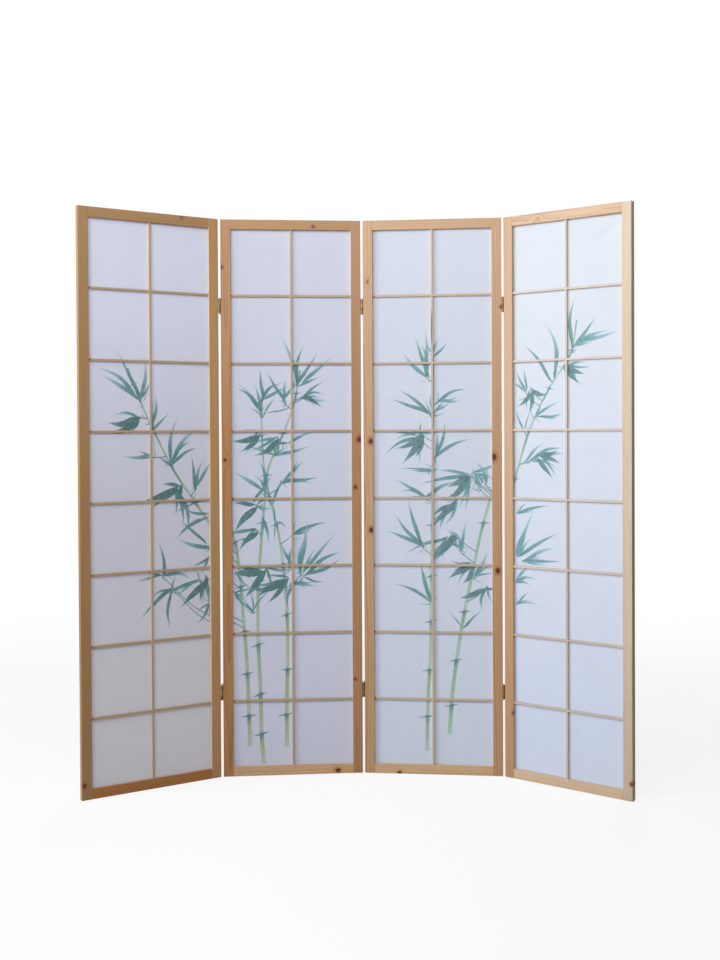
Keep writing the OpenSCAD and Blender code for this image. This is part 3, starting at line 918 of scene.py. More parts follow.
@dataclass(frozen=True)
class Spray:
    """A bunch of leaves that grow from one place.

    Attributes:
        x: The place across the print, in millimetres.
        z: The place above the floor.
        habit: How its leaves grow.
        leaves: Pairs of a leaf's heading in degrees, 0 to the right, and its length in millimetres.
        twig: Whether a twig joins it to a stem.
    """

    x: float
    z: float
    habit: Habit
    leaves: tuple[Point, ...]
    twig: bool = True

    # A leaf's steps, its turns in degrees and its outline in millimetres and powers
    STEPS = 11
    SAG, SAG_FROM, SWAY = (-0.6, 2.0), 0.35, (-14, 14)
    LEAST_WIDTH, WIDTHS, THINNEST = 2.4, (0.86, 1.14), 0.35
    STARTS, FALLS = (0.7, 1.0), (1.3, 1.8)

    # Where leaves start, and the slighter leaves and buds that are added to a bunch
    SLIDE, SCATTER = (0, 18), (-2, 2)
    EXTRA_TURN, EXTRA_LENGTH, EXTRA_SCATTER = (14, 44), (0.5, 1.05), (-5, 5)
    BUDS, BUD_TURN, BUD_SLIDE = (2, 3), (-75, 75), (0, 30)
    BUD_LENGTH, BUD_HALF, BUD_BEND = (14, 42), (1.0, 1.8), (-25, 25)

    # The twig: how steeply it leaves the stem, its sag, its thickness and how many points end it
    TWIG_SLOPE, TWIG_RISE, TWIG_PULL = 0.8, 6, 0.9
    TWIG_SAG, TWIG_STEP, TWIG_HALF, TWIG_TAPER = (0.03, 0.1), 9.0, 1.9, 0.8
    TWIG_END = 4

    # Inks from a leaf's root to its tip
    DARK = ((0.0, DEEP), (0.55, DEEP.weaker(0.97)), (0.85, TEAL), (1.0, MIST))
    PALE = ((0.0, TEAL), (0.35, TEAL), (0.65, MIST), (1.0, FAINT))
    PLAIN = ((0.0, DEEP), (0.45, TEAL), (0.8, TEAL.weaker(0.9)), (1.0, MIST))

    def leaf(self, heading: float, length: float, habit: Habit, root: Point, draw: random.Random) -> Stroke:
        """Makes one leaf.

        Args:
            heading: Its heading in degrees.
            length: Its length in millimetres.
            habit: How it grows.
            root: Where it starts.
            draw: The print's own dice.

        Returns:
            The stroke.
        """
        share_wide, widest, sag, _ = habit.value
        side = 1.0 if math.cos(math.radians(heading)) > 0 else -1.0
        bend = -sag * side * draw.uniform(*self.SAG)
        sway = draw.uniform(*self.SWAY)
        half = min(widest, share_wide * length + self.LEAST_WIDTH) / 2 * draw.uniform(*self.WIDTHS)
        start, fall = draw.uniform(*self.STARTS), draw.uniform(*self.FALLS)
        peak = start / (start + fall)
        top = peak ** start * (1 - peak) ** fall
        shares = [k / self.STEPS for k in range(self.STEPS + 1)]
        turns = [
            math.radians(heading + bend * (share - self.SAG_FROM) + sway * math.sin(2 * math.pi * share))
            for share in shares
        ]
        spine = walk(root, length / self.STEPS, turns)
        halves = [max(self.THINNEST, half * share ** start * (1 - share) ** fall / top) for share in shares]
        if habit is DROOPING:
            stops = self.DARK
        else:
            stops = self.PALE if draw.random() < 0.5 else self.PLAIN
        return Stroke(spine, tuple(halves), ramp_inks(stops, shares))

    def strokes(self, culms: tuple[Culm, ...], draw: random.Random) -> tuple[list[Stroke], list[Stroke]]:
        """Makes the twig, the leaves, some slighter leaves among them and a bud or two.

        Args:
            culms: The print's stems, which the twig may grow from.
            draw: The print's own dice.

        Returns:
            The strokes that lie under the dark leaves, and the dark leaves.
        """
        under, over = [], []
        back = (0.0, 0.0)
        if self.twig:
            twig = self.twig_from(culms, draw)
            under.append(twig)
            near, end = twig.spine[-min(self.TWIG_END, len(twig.spine))], twig.spine[-1]
            gap = max(1.0, math.dist(near, end))
            back = ((near[0] - end[0]) / gap, (near[1] - end[1]) / gap)
        for heading, length in self.leaves:
            root = self.root(back, draw.uniform(*self.SLIDE), self.SCATTER, draw)
            leaf = self.leaf(heading, length, self.habit, root, draw)
            (over if self.habit is DROOPING else under).append(leaf)
        middle = sum(heading for heading, _ in self.leaves) / len(self.leaves)
        longest = max(length for _, length in self.leaves)
        for _ in range(self.habit.value[3]):
            turn = middle + draw.choice((-1, 1)) * draw.uniform(*self.EXTRA_TURN)
            root = self.root(back, 0.0, self.EXTRA_SCATTER, draw)
            under.append(self.leaf(turn, longest * draw.uniform(*self.EXTRA_LENGTH), RISING, root, draw))
        for _ in range(draw.randint(*self.BUDS)):
            turn = math.radians(middle + draw.uniform(*self.BUD_TURN))
            root = (self.x + back[0] * draw.uniform(*self.BUD_SLIDE),
                    self.z + back[1] * draw.uniform(*self.BUD_SLIDE))
            length, half = draw.uniform(*self.BUD_LENGTH), draw.uniform(*self.BUD_HALF)
            under.append(dab(root, turn, length, half, TWIG, draw.uniform(*self.BUD_BEND)))
        return under, over

    def root(self, back: Point, slide: float, scatter: Point, draw: random.Random) -> Point:
        """Returns a leaf's root, some way back along the twig and a little beside it."""
        return (self.x + back[0] * slide + draw.uniform(*scatter),
                self.z + back[1] * slide + draw.uniform(*scatter))

    def twig_from(self, culms: tuple[Culm, ...], draw: random.Random) -> Stroke:
        """Makes the twig from a stem, which leaves it lower than the bunch.

        Args:
            culms: The print's stems.
            draw: The print's own dice.

        Returns:
            The stroke.
        """
        end = (self.x, self.z)
        best, near = math.inf, end
        for culm in culms:
            for x, z in culm.path()[0]:
                aside, below = abs(end[0] - x), end[1] - z
                astray = abs(below - self.TWIG_SLOPE * aside - self.TWIG_RISE)
                cost = math.hypot(aside, below) + self.TWIG_PULL * astray
                if cost < best:
                    best, near = cost, (float(x), float(z))
        sag = draw.uniform(*self.TWIG_SAG) * math.dist(near, end)
        middle = ((near[0] + end[0]) / 2, (near[1] + end[1]) / 2 - sag)
        spine = smooth_line((near, middle, end), self.TWIG_STEP)
        shares = [k / (len(spine) - 1) for k in range(len(spine))]
        halves = tuple(self.TWIG_HALF - self.TWIG_TAPER * share for share in shares)
        return Stroke(tuple(map(tuple, spine)), halves, ramp_inks(((0.0, TWIG), (1.0, TEAL)), shares))


# Stems: places from the foot up in print millimetres, widths at foot and tip, and the joints
CULMS = (
    Culm(((455, 92), (450, 275), (444, 400), (434, 530), (424, 665), (402, 785), (352, 868), (275, 980),
          (214, 1098), (168, 1196), (128, 1300)), 13.8, 4.6,
         (100, 236, 372, 516, 660, 812, 960, 1100, 1230)),
    Culm(((499, 36), (492, 130), (489, 275), (483, 430), (483, 565), (490, 695), (506, 880), (518, 985),
          (570, 1105), (604, 1205), (622, 1300)), 14.2, 4.4,
         (96, 226, 384, 588, 778, 930, 1075, 1210)),
    Culm(((572, 88), (573, 240), (577, 385), (575, 525), (565, 660), (550, 775), (528, 870), (505, 985),
          (498, 1120), (500, 1210)), 13.2, 4.0,
         (104, 250, 428, 590, 720, 868, 1010)),
    Culm(((968, 73), (972, 238), (981, 400), (983, 560), (986, 752), (988, 945), (992, 1140), (994, 1330)),
         12.0, 4.4, (112, 262, 420, 566, 730, 905, 1080)),
    Culm(((1041, 130), (1052, 272), (1070, 402), (1090, 520), (1116, 645), (1142, 768), (1175, 888),
          (1200, 960), (1254, 1112), (1326, 1240), (1398, 1338), (1420, 1440)), 13.6, 4.2,
         (92, 238, 398, 545, 690, 838, 1000, 1150, 1290)),
)

# Bunches: place across and up in print millimetres, habit, leaves, and False where it has no twig
SPRAYS = tuple(Spray(*row) for row in (
    (163, 1202, RISING, ((144, 150), (113, 178), (82, 136), (62, 88))),
    (206, 1118, RISING, ((85, 108), (50, 94))),
    (158, 1150, DROOPING, ((-151, 116), (-168, 110), (-122, 58))),
    (264, 1003, RISING, ((82, 168), (58, 158), (34, 108), (140, 66))),
    (192, 1026, RISING, ((177, 92), (150, 52))),
    (282, 932, DROOPING, ((-140, 112), (-158, 148), (-104, 64), (174, 60))),
    (348, 925, RISING, ((96, 118), (74, 112))),
    (330, 880, WISP, ((168, 70), (-160, 84), (60, 48))),
    (386, 742, RISING, ((161, 134), (176, 60))),
    (388, 838, RISING, ((-152, 120), (-166, 60))),
    (388, 712, RISING, ((-158, 72),)),
    (229, 660, RISING, ((95, 120), (-172, 92), (164, 54))),
    (376, 648, DROOPING, ((-137, 132), (-108, 84))),
    (350, 640, RISING, ((-164, 150), (-148, 100), (118, 42))),
    (262, 618, RISING, ((-140, 138), (-166, 78), (76, 50))),
    (392, 560, RISING, ((-124, 84), (-146, 66)), False),
    (492, 1168, RISING, ((124, 132), (98, 92))),
    (502, 1203, RISING, ((91, 112), (44, 104))),
    (566, 1200, RISING, ((118, 126), (84, 82))),
    (512, 1165, WISP, ((16, 96), (150, 58))),
    (620, 1252, RISING, ((106, 178), (82, 140), (58, 132), (22, 92))),
    (632, 1212, RISING, ((38, 96), (-3, 88))),
    (636, 1222, DROOPING, ((-34, 76),)),
    (488, 1102, DROOPING, ((-137, 84), (-168, 98))),
    (548, 1088, DROOPING, ((-146, 100), (-118, 58))),
    (592, 1070, RISING, ((22, 92), (-160, 70))),
    (545, 1030, RISING, ((16, 122), (38, 62), (164, 108))),
    (500, 924, RISING, ((146, 126), (122, 68))),
    (572, 950, RISING, ((12, 128), (-4, 96), (56, 84))),
    (538, 880, RISING, ((98, 74), (66, 92))),
    (474, 872, DROOPING, ((-132, 112), (178, 70))),
    (476, 792, DROOPING, ((-134, 96), (-160, 74))),
    (500, 830, RISING, ((-76, 92), (-98, 70))),
    (536, 812, WISP, ((100, 70), (-88, 66)), False),
    (598, 776, RISING, ((22, 122), (76, 48))),
    (626, 650, RISING, ((84, 138), (50, 184), (62, 96))),
    (634, 640, RISING, ((34, 148), (-14, 66))),
    (594, 668, RISING, ((78, 108), (110, 62))),
    (512, 664, DROOPING, ((-128, 118), (-176, 96), (168, 84))),
    (582, 630, DROOPING, ((-150, 124), (-133, 92), (-168, 132))),
    (600, 624, RISING, ((4, 86), (-18, 60), (-100, 96))),
    (466, 520, WISP, ((128, 62), (96, 88), (54, 96)), False),
    (412, 655, RISING, ((8, 92), (-30, 74)), False),
    (410, 585, RISING, ((20, 66), (-48, 80)), False),
    (966, 1280, RISING, ((108, 148), (94, 110), (134, 122))),
    (990, 1352, RISING, ((44, 66), (118, 40))),
    (980, 1156, RISING, ((137, 136), (112, 60))),
    (1000, 1166, RISING, ((90, 96), (52, 58))),
    (1010, 1202, RISING, ((26, 104), (14, 78), (34, 62))),
    (950, 1102, DROOPING, ((-128, 118), (-104, 84), (-150, 104))),
    (940, 1090, RISING, ((-156, 132), (170, 76), (84, 54))),
    (1002, 1024, RISING, ((74, 128), (32, 140))),
    (1000, 980, WISP, ((176, 116), (150, 52))),
    (1112, 966, RISING, ((174, 122), (-172, 172), (-12, 90))),
    (1110, 960, DROOPING, ((-136, 124), (-158, 88))),
    (1068, 884, DROOPING, ((-131, 118), (-150, 82))),
    (960, 896, RISING, ((147, 124), (-176, 78), (160, 96))),
    (1132, 930, WISP, ((96, 66), (70, 84), (120, 42))),
    (950, 738, RISING, ((130, 148), (154, 128), (112, 70))),
    (1060, 776, DROOPING, ((-130, 112), (-152, 78))),
    (1040, 764, RISING, ((-158, 148), (-20, 74))),
    (1072, 722, RISING, ((82, 112), (108, 84))),
    (1158, 934, RISING, ((112, 92), (84, 60))),
    (978, 560, RISING, ((104, 128), (152, 132), (136, 60))),
    (1112, 676, DROOPING, ((-152, 92), (-120, 66), (-172, 62))),
    (1128, 640, RISING, ((36, 70), (12, 66), (64, 108))),
    (1164, 606, DROOPING, ((-158, 92), (-12, 40))),
    (1086, 470, WISP, ((42, 96), (128, 88)), False),
    (1408, 1366, RISING, ((87, 166), (50, 124), (22, 142), (10, 76))),
    (1336, 1254, RISING, ((98, 190), (80, 104))),
    (1388, 1302, DROOPING, ((-46, 92), (-22, 84))),
    (1254, 1238, DROOPING, ((-140, 76), (-98, 72), (-16, 62))),
    (1236, 1226, RISING, ((150, 64), (118, 86))),
    (1286, 1148, RISING, ((32, 104), (6, 88), (70, 62))),
    (1252, 1010, RISING, ((42, 98), (20, 134))),
    (1290, 1026, DROOPING, ((-50, 88), (-18, 84), (14, 66))),
    (1228, 1108, WISP, ((62, 90), (116, 74))),
    (1206, 842, RISING, ((16, 122), (46, 54)), False),
    (1204, 704, RISING, ((70, 108), (30, 172), (48, 90)), False),
    (1222, 690, RISING, ((22, 134), (4, 150), (12, 84)), False),
    (1200, 622, RISING, ((10, 90), (28, 56), (-8, 64)), False),
    (1200, 552, WISP, ((2, 100), (20, 60)), False),
))


class Artwork:
    """The print: one bamboo grove that runs over the four sheets side by side."""

    def __init__(self) -> None:
        """Lays down all strokes, the stems first and the dark leaves last."""
        draw = random.Random(SEED)
        stems: list[Stroke] = []
        light: list[Stroke] = []
        dark: list[Stroke] = []
        for culm in CULMS:
            stems += culm.strokes(draw)
        for spray in SPRAYS:
            under, over = spray.strokes(CULMS, draw)
            light += under
            dark += over
        self.strokes = stems + light + dark

    def between(self, left: float, right: float) -> list[Stroke]:
        """Picks the strokes that reach into a band of the print.

        Args:
            left: The band's left side, in print millimetres.
            right: Its right side.

        Returns:
            The strokes, in the order they are laid down.
        """
        picked = []
        for stroke in self.strokes:
            low = min(x - h for (x, _), h in zip(stroke.spine, stroke.half))
            high = max(x + h for (x, _), h in zip(stroke.spine, stroke.half))
            if low < right and high > left:
                picked.append(stroke)
        return picked


@dataclass
class PanelPlace:
    """Where a panel stands, read off its packed paper.

    Attributes:
        number: The panel's number, from the left.
    """

    number: int
    corner: Vector = field(init=False)
    along: Vector = field(init=False)
    back: Vector = field(init=False)
    low: float = field(init=False)
    width: float = field(init=False)
    height: float = field(init=False)
    thick: float = field(init=False)

    DIGITS = 6

    def __post_init__(self) -> None:
        """Measures the sheet's corners."""
        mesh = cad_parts[f"panel_{self.number}_paper"].data
        plan = sorted({(round(v.co.x, self.DIGITS), round(v.co.y, self.DIGITS)) for v in mesh.vertices})
        heights = [v.co.z for v in mesh.vertices]
        start, end = (Vector((*np.mean(side, axis=0), 0.0)) for side in (plan[:2], plan[-2:]))
        self.width = (end - start).length
        self.along = (end - start).normalized()
        self.back = Vector((-self.along.y, self.along.x, 0.0))
        self.low = min(heights)
        self.height = max(heights) - self.low
        self.thick = (Vector((*plan[0], 0.0)) - Vector((*plan[1], 0.0))).length
        self.corner = start - self.back * self.thick / 2 + Vector((0.0, 0.0, self.low))

    @property
    def turn(self) -> float:
        """The panel's turn about the upright axis, in radians."""
        return math.atan2(self.along.y, self.along.x)

    def world(self, u: float, depth: float, z: float) -> Vector:
        """Returns the place of a point across, behind and above the sheet's front lower left corner."""
        return self.corner + self.along * u + self.back * depth + Vector((0.0, 0.0, z))

    def middle(self, node: str) -> tuple[Vector, Vector]:
        """Finds the middle and the size of a packed member in the panel's axes.

        Args:
            node: The member's name.

        Returns:
            The middle in the screen's frame, and the size along, back and up.
        """
        offsets = [vertex.co - self.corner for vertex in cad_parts[node].data.vertices]
        rows = [(offset.dot(self.along), offset.dot(self.back), offset.z) for offset in offsets]
        lows, highs = (Vector([pick(axis) for axis in zip(*rows)]) for pick in (min, max))
        return self.world(*(lows + highs) / 2), highs - lows


@dataclass
class PrintedSheet:
    """One panel's paper, a closed thin shell whose faces follow the print's strokes.

    Attributes:
        place: Where the panel stands.
        artwork: The whole print.
        columns: Distances from the sheet's left edge at which it is held flat.
        rows: Heights above the sheet's foot at which it is held flat.
        crease: Whether the top right field has a slack diagonal fold.
    """

    place: PanelPlace
    artwork: Artwork
    columns: tuple[float, ...]
    rows: tuple[float, ...]
    crease: bool = False

    # Millimetres between loose points, and how far each strays, on the whole sheet and in the crease
    GRID, JITTER = 12.0, 1.5
    FINE, FINE_JITTER = 4.5, 0.5

    # The closest points kept, a field's most slack in millimetres, and the ink that shows behind
    TOUCHING = 1e-4
    SLACK, TIGHTEST = 0.45, -0.4
    BACK_SHARE = 0.5
    HELD_BY = ("upright_bar", "crossbars", "side_beads", "end_beads")

    # The crease in the top right field: its depth in millimetres, and the rest in shares of the field
    CREASE_DEPTH, CREASE_WIDTH, CREASE_SLOPE = 5.0, 0.07, 0.62
    CREASE_MIDDLE = (0.69, 0.735)
    CREASE_FROM, CREASE_FADE, CREASE_ROUND = 0.42, 0.28, 0.4

    # Ink and paper by sheet, all painted light as well: how much ink, less on the right-hand sheets as
    # painted glare;
    # factors on its colours, bluer on the right; and factors on the bare paper's colour at the foot, the
    # middle and the head
    INK_AND_PAINTED_GLARE = (1.1, 1.1, 0.98, 0.95)
    INK_TINTS_AND_PAINTED_GLARE = ((1.13, 1.03, 1.03), (1.08, 1.04, 1.04), (0.93, 1.04, 1.07), (0.9, 1.05, 1.11))
    TONES = (
        ((1.03, 0.985, 0.945), (0.99, 0.965, 0.97), (1.07, 1.055, 1.08)),
        ((0.965, 0.945, 0.975), (0.955, 0.96, 0.99), (0.99, 0.975, 1.0)),
        ((0.965, 0.985, 1.0), (0.97, 0.985, 1.0), (0.985, 0.995, 0.995)),
        ((0.945, 0.98, 1.02), (0.98, 1.0, 1.01), (1.02, 1.03, 1.0)),
    )

    def __post_init__(self) -> None:
        """Draws each field's slack."""
        draw = random.Random(f"{SEED} sheet {self.place.number}")
        self.slack = {
            (i, j): draw.uniform(self.TIGHTEST, 1.0) * self.SLACK
            for i in range(len(self.columns) - 1)
            for j in range(len(self.rows) - 1)
        }

    def bulge(self, u: float, z: float) -> float:
        """Gives how far the paper stands behind its flat place.

        Args:
            u: Millimetres from the sheet's left edge.
            z: Millimetres above its foot.

        Returns:
            Millimetres towards the back.
        """
        i = sum(1 for edge in self.columns[1:-1] if u > edge)
        j = sum(1 for edge in self.rows[1:-1] if z > edge)
        left, right = self.columns[i], self.columns[i + 1]
        low, high = self.rows[j], self.rows[j + 1]
        across, up = (u - left) / (right - left), (z - low) / (high - low)
        depth = self.slack[(i, j)] * wave(across) * wave(up)
        if self.crease and i == len(self.columns) - 2 and j == len(self.rows) - 2:
            ridge = (up - self.CREASE_MIDDLE[1]) - self.CREASE_SLOPE * (across - self.CREASE_MIDDLE[0])
            fade = min(1.0, max(0.0, (across - self.CREASE_FROM) / self.CREASE_FADE))
            reach = wave(across) ** self.CREASE_ROUND * wave(up) ** self.CREASE_ROUND * fade
            depth += self.CREASE_DEPTH * math.exp(-(ridge / self.CREASE_WIDTH) ** 2) * reach
        return depth

    def loose_points(self, width: float, height: float) -> list[Point]:
        """Gives points inside the sheet, so that its faces stay small enough to curve.

        Args:
            width: The sheet's width in millimetres.
            height: Its height.

        Returns:
            The points.
        """
        draw = random.Random(f"{SEED} points {self.place.number}")
        areas = [(0.0, 0.0, self.GRID, self.JITTER)]
        if self.crease:
            areas.append((self.columns[-2], self.rows[-2], self.FINE, self.FINE_JITTER))
        points = []
        for left, low, step, jitter in areas:
            wide, tall = width - left, height - low
            across, up = round(wide / step), round(tall / step)
            for i in range(1, across):
                for j in range(1, up):
                    points.append((left + wide * i / across + draw.uniform(-jitter, jitter),
                                   low + tall * j / up + draw.uniform(-jitter, jitter)))
        return points

    def layout(self) -> tuple[np.ndarray, list[list[int]], np.ndarray]:
        """Cuts the sheet's rectangle into triangles along the strokes' edges, and inks their corners.

        Returns:
            Places on the sheet in millimetres, triangles, and the ink at each triangle's corners.
        """
        width, height = self.place.width / MM, self.place.height / MM
        left, foot = (self.place.number - 1) * width, self.place.low / MM
        across, up = round(width / self.GRID), round(height / self.GRID)
        rim = [(width * k / across, 0.0) for k in range(across)]
        rim += [(width, height * k / up) for k in range(up)]
        rim += [(width * (1 - k / across), height) for k in range(across)]
        rim += [(0.0, height * (1 - k / up)) for k in range(up)]
        points = list(rim)
        loops = [list(range(len(rim)))]
        strokes = self.artwork.between(left, left + width)
        for stroke in strokes:
            outline = [(x - left, z - foot) for x, z in stroke.outline()]
            loops.append(list(range(len(points), len(points) + len(outline))))
            points += outline
            points += [(x - left, z - foot) for x, z in stroke.spine[1:-1]]
        points += self.loose_points(width, height)
        corners = [Vector(point) for point in points]
        cut, _, faces, _, _, origins = delaunay_2d_cdt(corners, [], loops, 0, self.TOUCHING, True)
        places = np.array([tuple(point) for point in cut])
        triangles = []
        owners: list[list[int]] = []
        for face, sources in zip(faces, origins):
            if 0 in sources:
                triangles.append(list(face))
                owners.append(sorted(source - 1 for source in sources if source > 0))
        inks = self.ink_corners(places + np.array((left, foot)), triangles, owners, strokes)
        return places, triangles, inks

    def ink_corners(self, places: np.ndarray, triangles: list[list[int]], owners: list[list[int]],
                    strokes: list[Stroke]) -> np.ndarray:
        """Lays the strokes' inks over each other at each triangle's corners.

        Args:
            places: Print places, one a row.
            triangles: The triangles.
            owners: The strokes that cover each triangle.
            strokes: All strokes.

        Returns:
            Linear colour and cover, one corner a row.
        """
        inks = np.zeros((3 * len(triangles), 4))
        inks[:, :3] = MIST.colour[:3]
        covered: dict[int, list[int]] = {}
        for index, sources in enumerate(owners):
            for source in sources:
                covered.setdefault(source, []).append(index)
        corners = np.array(triangles)
        for source in sorted(covered):
            faces = np.array(covered[source])
            rows = (3 * faces[:, None] + np.arange(3)).ravel()
            ink = strokes[source].ink_at(places[corners[faces].ravel()])
            under = inks[rows]
            cover = ink[:, 3] + under[:, 3] * (1 - ink[:, 3])
            top = ink[:, 3:4] / np.maximum(cover[:, None], NO_COVER)
            inks[rows, :3] = ink[:, :3] * top + under[:, :3] * (1 - top)
            inks[rows, 3] = cover
        return inks

    def build(self) -> bpy.types.Object:
        """Makes the sheet as a closed shell with the print on its front and, weaker, on its back.

        Returns:
            The sheet's object.
        """
        flat, triangles, inks = self.layout()
        count = len(flat)
        thick = self.place.thick
        vertices = []
        for depth in (0.0, thick):
            for u, z in flat:
                away = self.bulge(u, z) * MM + depth
                vertices.append(self.place.world(u * MM, away, z * MM))
        faces = [tuple(face) for face in triangles]
        faces += [(c + count, b + count, a + count) for a, b, c in triangles]
        edges: dict[tuple[int, int], int] = {}
        for a, b, c in triangles:
            for pair in ((a, b), (b, c), (c, a)):
                edges[pair] = edges.get(pair, 0) + 1
        rim = [pair for pair in edges if (pair[1], pair[0]) not in edges]
        faces += [(b, a, a + count, b + count) for a, b in rim]
        name = f"panel_{self.place.number}_printed_sheet"
        mesh = bpy.data.meshes.new(name)
        mesh.from_pydata(vertices, [], faces)
        used = len(triangles)
        smooth = [index < 2 * used for index in range(len(mesh.polygons))]
        mesh.polygons.foreach_set("use_smooth", smooth)
        attribute = mesh.color_attributes.new(PrintedPaper.INK, "FLOAT_COLOR", "CORNER")
        back = inks.reshape(-1, 3, 4)[:, ::-1].reshape(-1, 4).copy()
        back[:, 3] *= self.BACK_SHARE
        edge = np.tile((*PAPER.ground[:3], 0.0), (4 * len(rim), 1))
        attribute.data.foreach_set("color", np.concatenate((inks, back, edge)).astype(np.float32).ravel())
        mesh.update()
        sharp = mesh.attributes.new("sharp_edge", "BOOLEAN", "EDGE")
        border = {frozenset(pair) for pair in rim}
        border |= {frozenset((a + count, b + count)) for a, b in rim}
        sharp.data.foreach_set("value", [frozenset(e.vertices) in border for e in mesh.edges])
        sheet = bpy.data.objects.new(name, mesh)
        bpy.context.scene.collection.objects.link(sheet)
        return sheet

    def finish(self) -> bpy.types.Object:
        """Builds the sheet, dresses it and hangs it on its panel.

        Returns:
            The sheet's object.
        """
        number = self.place.number
        sheet = self.build()
        centre = self.place.world(self.place.width / 2, 0.0, self.place.height / 2)
        turn = Euler((0.0, 0.0, self.place.turn))
        row = number - 1
        paper = PAPER.dress(sheet.name, centre, turn, self.INK_AND_PAINTED_GLARE[row], self.INK_TINTS_AND_PAINTED_GLARE[row], self.TONES[row])
        sheet.data.materials.append(paper)
        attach(sheet, f"panel_{number}")
        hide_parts(f"panel_{number}_paper")
        return sheet


@dataclass
class Panel:
    """A lattice panel: two stiles, two rails, the bars, the beads and the paper.

    Attributes:
        number: The panel's number, from the left.
        artwork: The whole print.
        tones: Factors on its wood's colour by member, with one entry for all bars and beads; these hold
        painted light and sheen as well as each board's own tone.
        knots: The knots of its frame, by member.
        streaks: The dark streaks of its upright bar.
    """

    number: int
    artwork: Artwork
    tones: dict[str, Triple]
    knots: dict[str, Knots]
    streaks: Knots = ()

    MEMBERS = (
        ("left_stile", FRAME_WOOD, Grain.UPRIGHT),
        ("right_stile", FRAME_WOOD, Grain.UPRIGHT),
        ("top_rail", FRAME_WOOD, Grain.LEVEL),
        ("bottom_rail", FRAME_WOOD, Grain.LEVEL),
        ("upright_bar", LATTICE_WOOD, Grain.UPRIGHT),
        ("crossbars", LATTICE_WOOD, Grain.LEVEL),
        ("side_beads", BEAD_WOOD, Grain.UPRIGHT),
        ("end_beads", BEAD_WOOD, Grain.LEVEL),
    )

    # Walls given painted light, strongest where they face the left-hand softbox: side of the member and how
    # pale
    PAINTED_WALL_LIGHT = {
        "left_stile": ((-1.0, 0.3),),
        "right_stile": ((1.0, 0.85),),
        "upright_bar": ((1.0, 0.7), (-1.0, 0.25)),
    }
    # Millimetres: a bar's width, its tongue in the stile, and less than an opening between bars
    BAR = 7.0
    TONGUE = 4.0
    OPENING = 60

    PITCHES = 6
    CREASED = 4
    LIFT = (0.97, 1.03)

    # Painted shadows at the crossbars' left ends, where the left stile's shadow falls: panels, sizes and
    # places in millimetres, darkness
    END_PANELS = (1, 2, 3)
    END_RADIUS, END_SIZES = 2.4, (0.85, 1.1)
    END_INSET = 0.6
    END_STRAY = 0.5
    END_DEPTHS = (0.65, 1.0)

    def __post_init__(self) -> None:
        """Reads the panel's place."""
        self.place = PanelPlace(self.number)

    def painted_end_shadows(self, size: Vector) -> Knots:
        """Paints a dark shadow spot at the left end of each crossbar, where the stile's shadow falls beside
        it.

        Args:
            size: The crossbars' size along, back and up.

        Returns:
            The spots.
        """
        draw = random.Random(f"{SEED} ends {self.number}")
        along = -(size.x / 2 / MM - self.TONGUE - self.END_RADIUS * self.END_INSET)
        pitch = (size.z / MM - self.BAR) / self.PITCHES
        return tuple(
            Knot(along, k * pitch + draw.uniform(-self.END_STRAY, self.END_STRAY),
                 self.END_RADIUS * draw.uniform(*self.END_SIZES), draw.uniform(*self.END_DEPTHS))
            for k in range(-self.PITCHES // 2, self.PITCHES // 2 + 1)
        )

    def dress_wood(self) -> None:
        """Gives each wooden member its own piece of the timber."""
        draw = random.Random(f"{SEED} tones {self.number}")
        for part, finish, grain in self.MEMBERS:
            node = f"panel_{self.number}_{part}"
            centre, size = self.place.middle(node)
            lift = draw.uniform(*self.LIFT)
            tone = tuple(factor * lift for factor in self.tones.get(part, self.tones["bars"]))
            turn = Euler((0.0, grain.value, self.place.turn))
            streaks = self.streaks if part == "upright_bar" else ()
            painted_lit_walls = tuple((side * size.x / 2 / MM, pale) for side, pale in self.PAINTED_WALL_LIGHT.get(part, ()))
            knots = self.knots.get(part, ())
            # On panels 1 to 3 the crossbars get painted shadow spots at their left ends in place of knots
            if part == "crossbars" and self.number in self.END_PANELS:
                knots = self.painted_end_shadows(size)
            material = finish.dress(node, centre, turn, tone, knots, streaks, painted_lit_walls)
            dress_node(node, material)

    def sheet(self) -> PrintedSheet:
        """Works out the paper's fields from the bars that cross it.

        Returns:
            The sheet, not yet built.
        """
        upright, _ = self.place.middle(f"panel_{self.number}_upright_bar")
        middle = (upright - self.place.corner).dot(self.place.along) / MM
        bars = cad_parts[f"panel_{self.number}_crossbars"].data
        heights = sorted({round((v.co.z - self.place.low) / MM, 2) for v in bars.vertices})
        starts = [h for below, h in zip([0.0, *heights], heights) if h - below > self.OPENING]
        ends = [h for h, above in zip(heights, [*heights[1:], math.inf]) if above - h > self.OPENING]
        rows = [0.0, *((low + high) / 2 for low, high in zip(starts, ends)), self.place.height / MM]
        columns = (0.0, middle, self.place.width / MM)
        creased = self.number == self.CREASED
        return PrintedSheet(self.place, self.artwork, columns, tuple(rows), creased)

    def finish(self) -> None:
        """Dresses the wood and makes the paper."""
        self.dress_wood()
        LOG.info("panel %d: %d wooden members dressed", self.number, len(self.MEMBERS))
        sheet = self.sheet().finish()
        LOG.info("panel %d: %s, %d faces", self.number, sheet.name, len(sheet.data.polygons))


def dress_node(node: str, material: Material) -> None:
    """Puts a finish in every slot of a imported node."""
    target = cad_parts[node]
    if not target.material_slots:
        target.data.materials.append(material)
    for holder in target.material_slots:
        holder.material = material


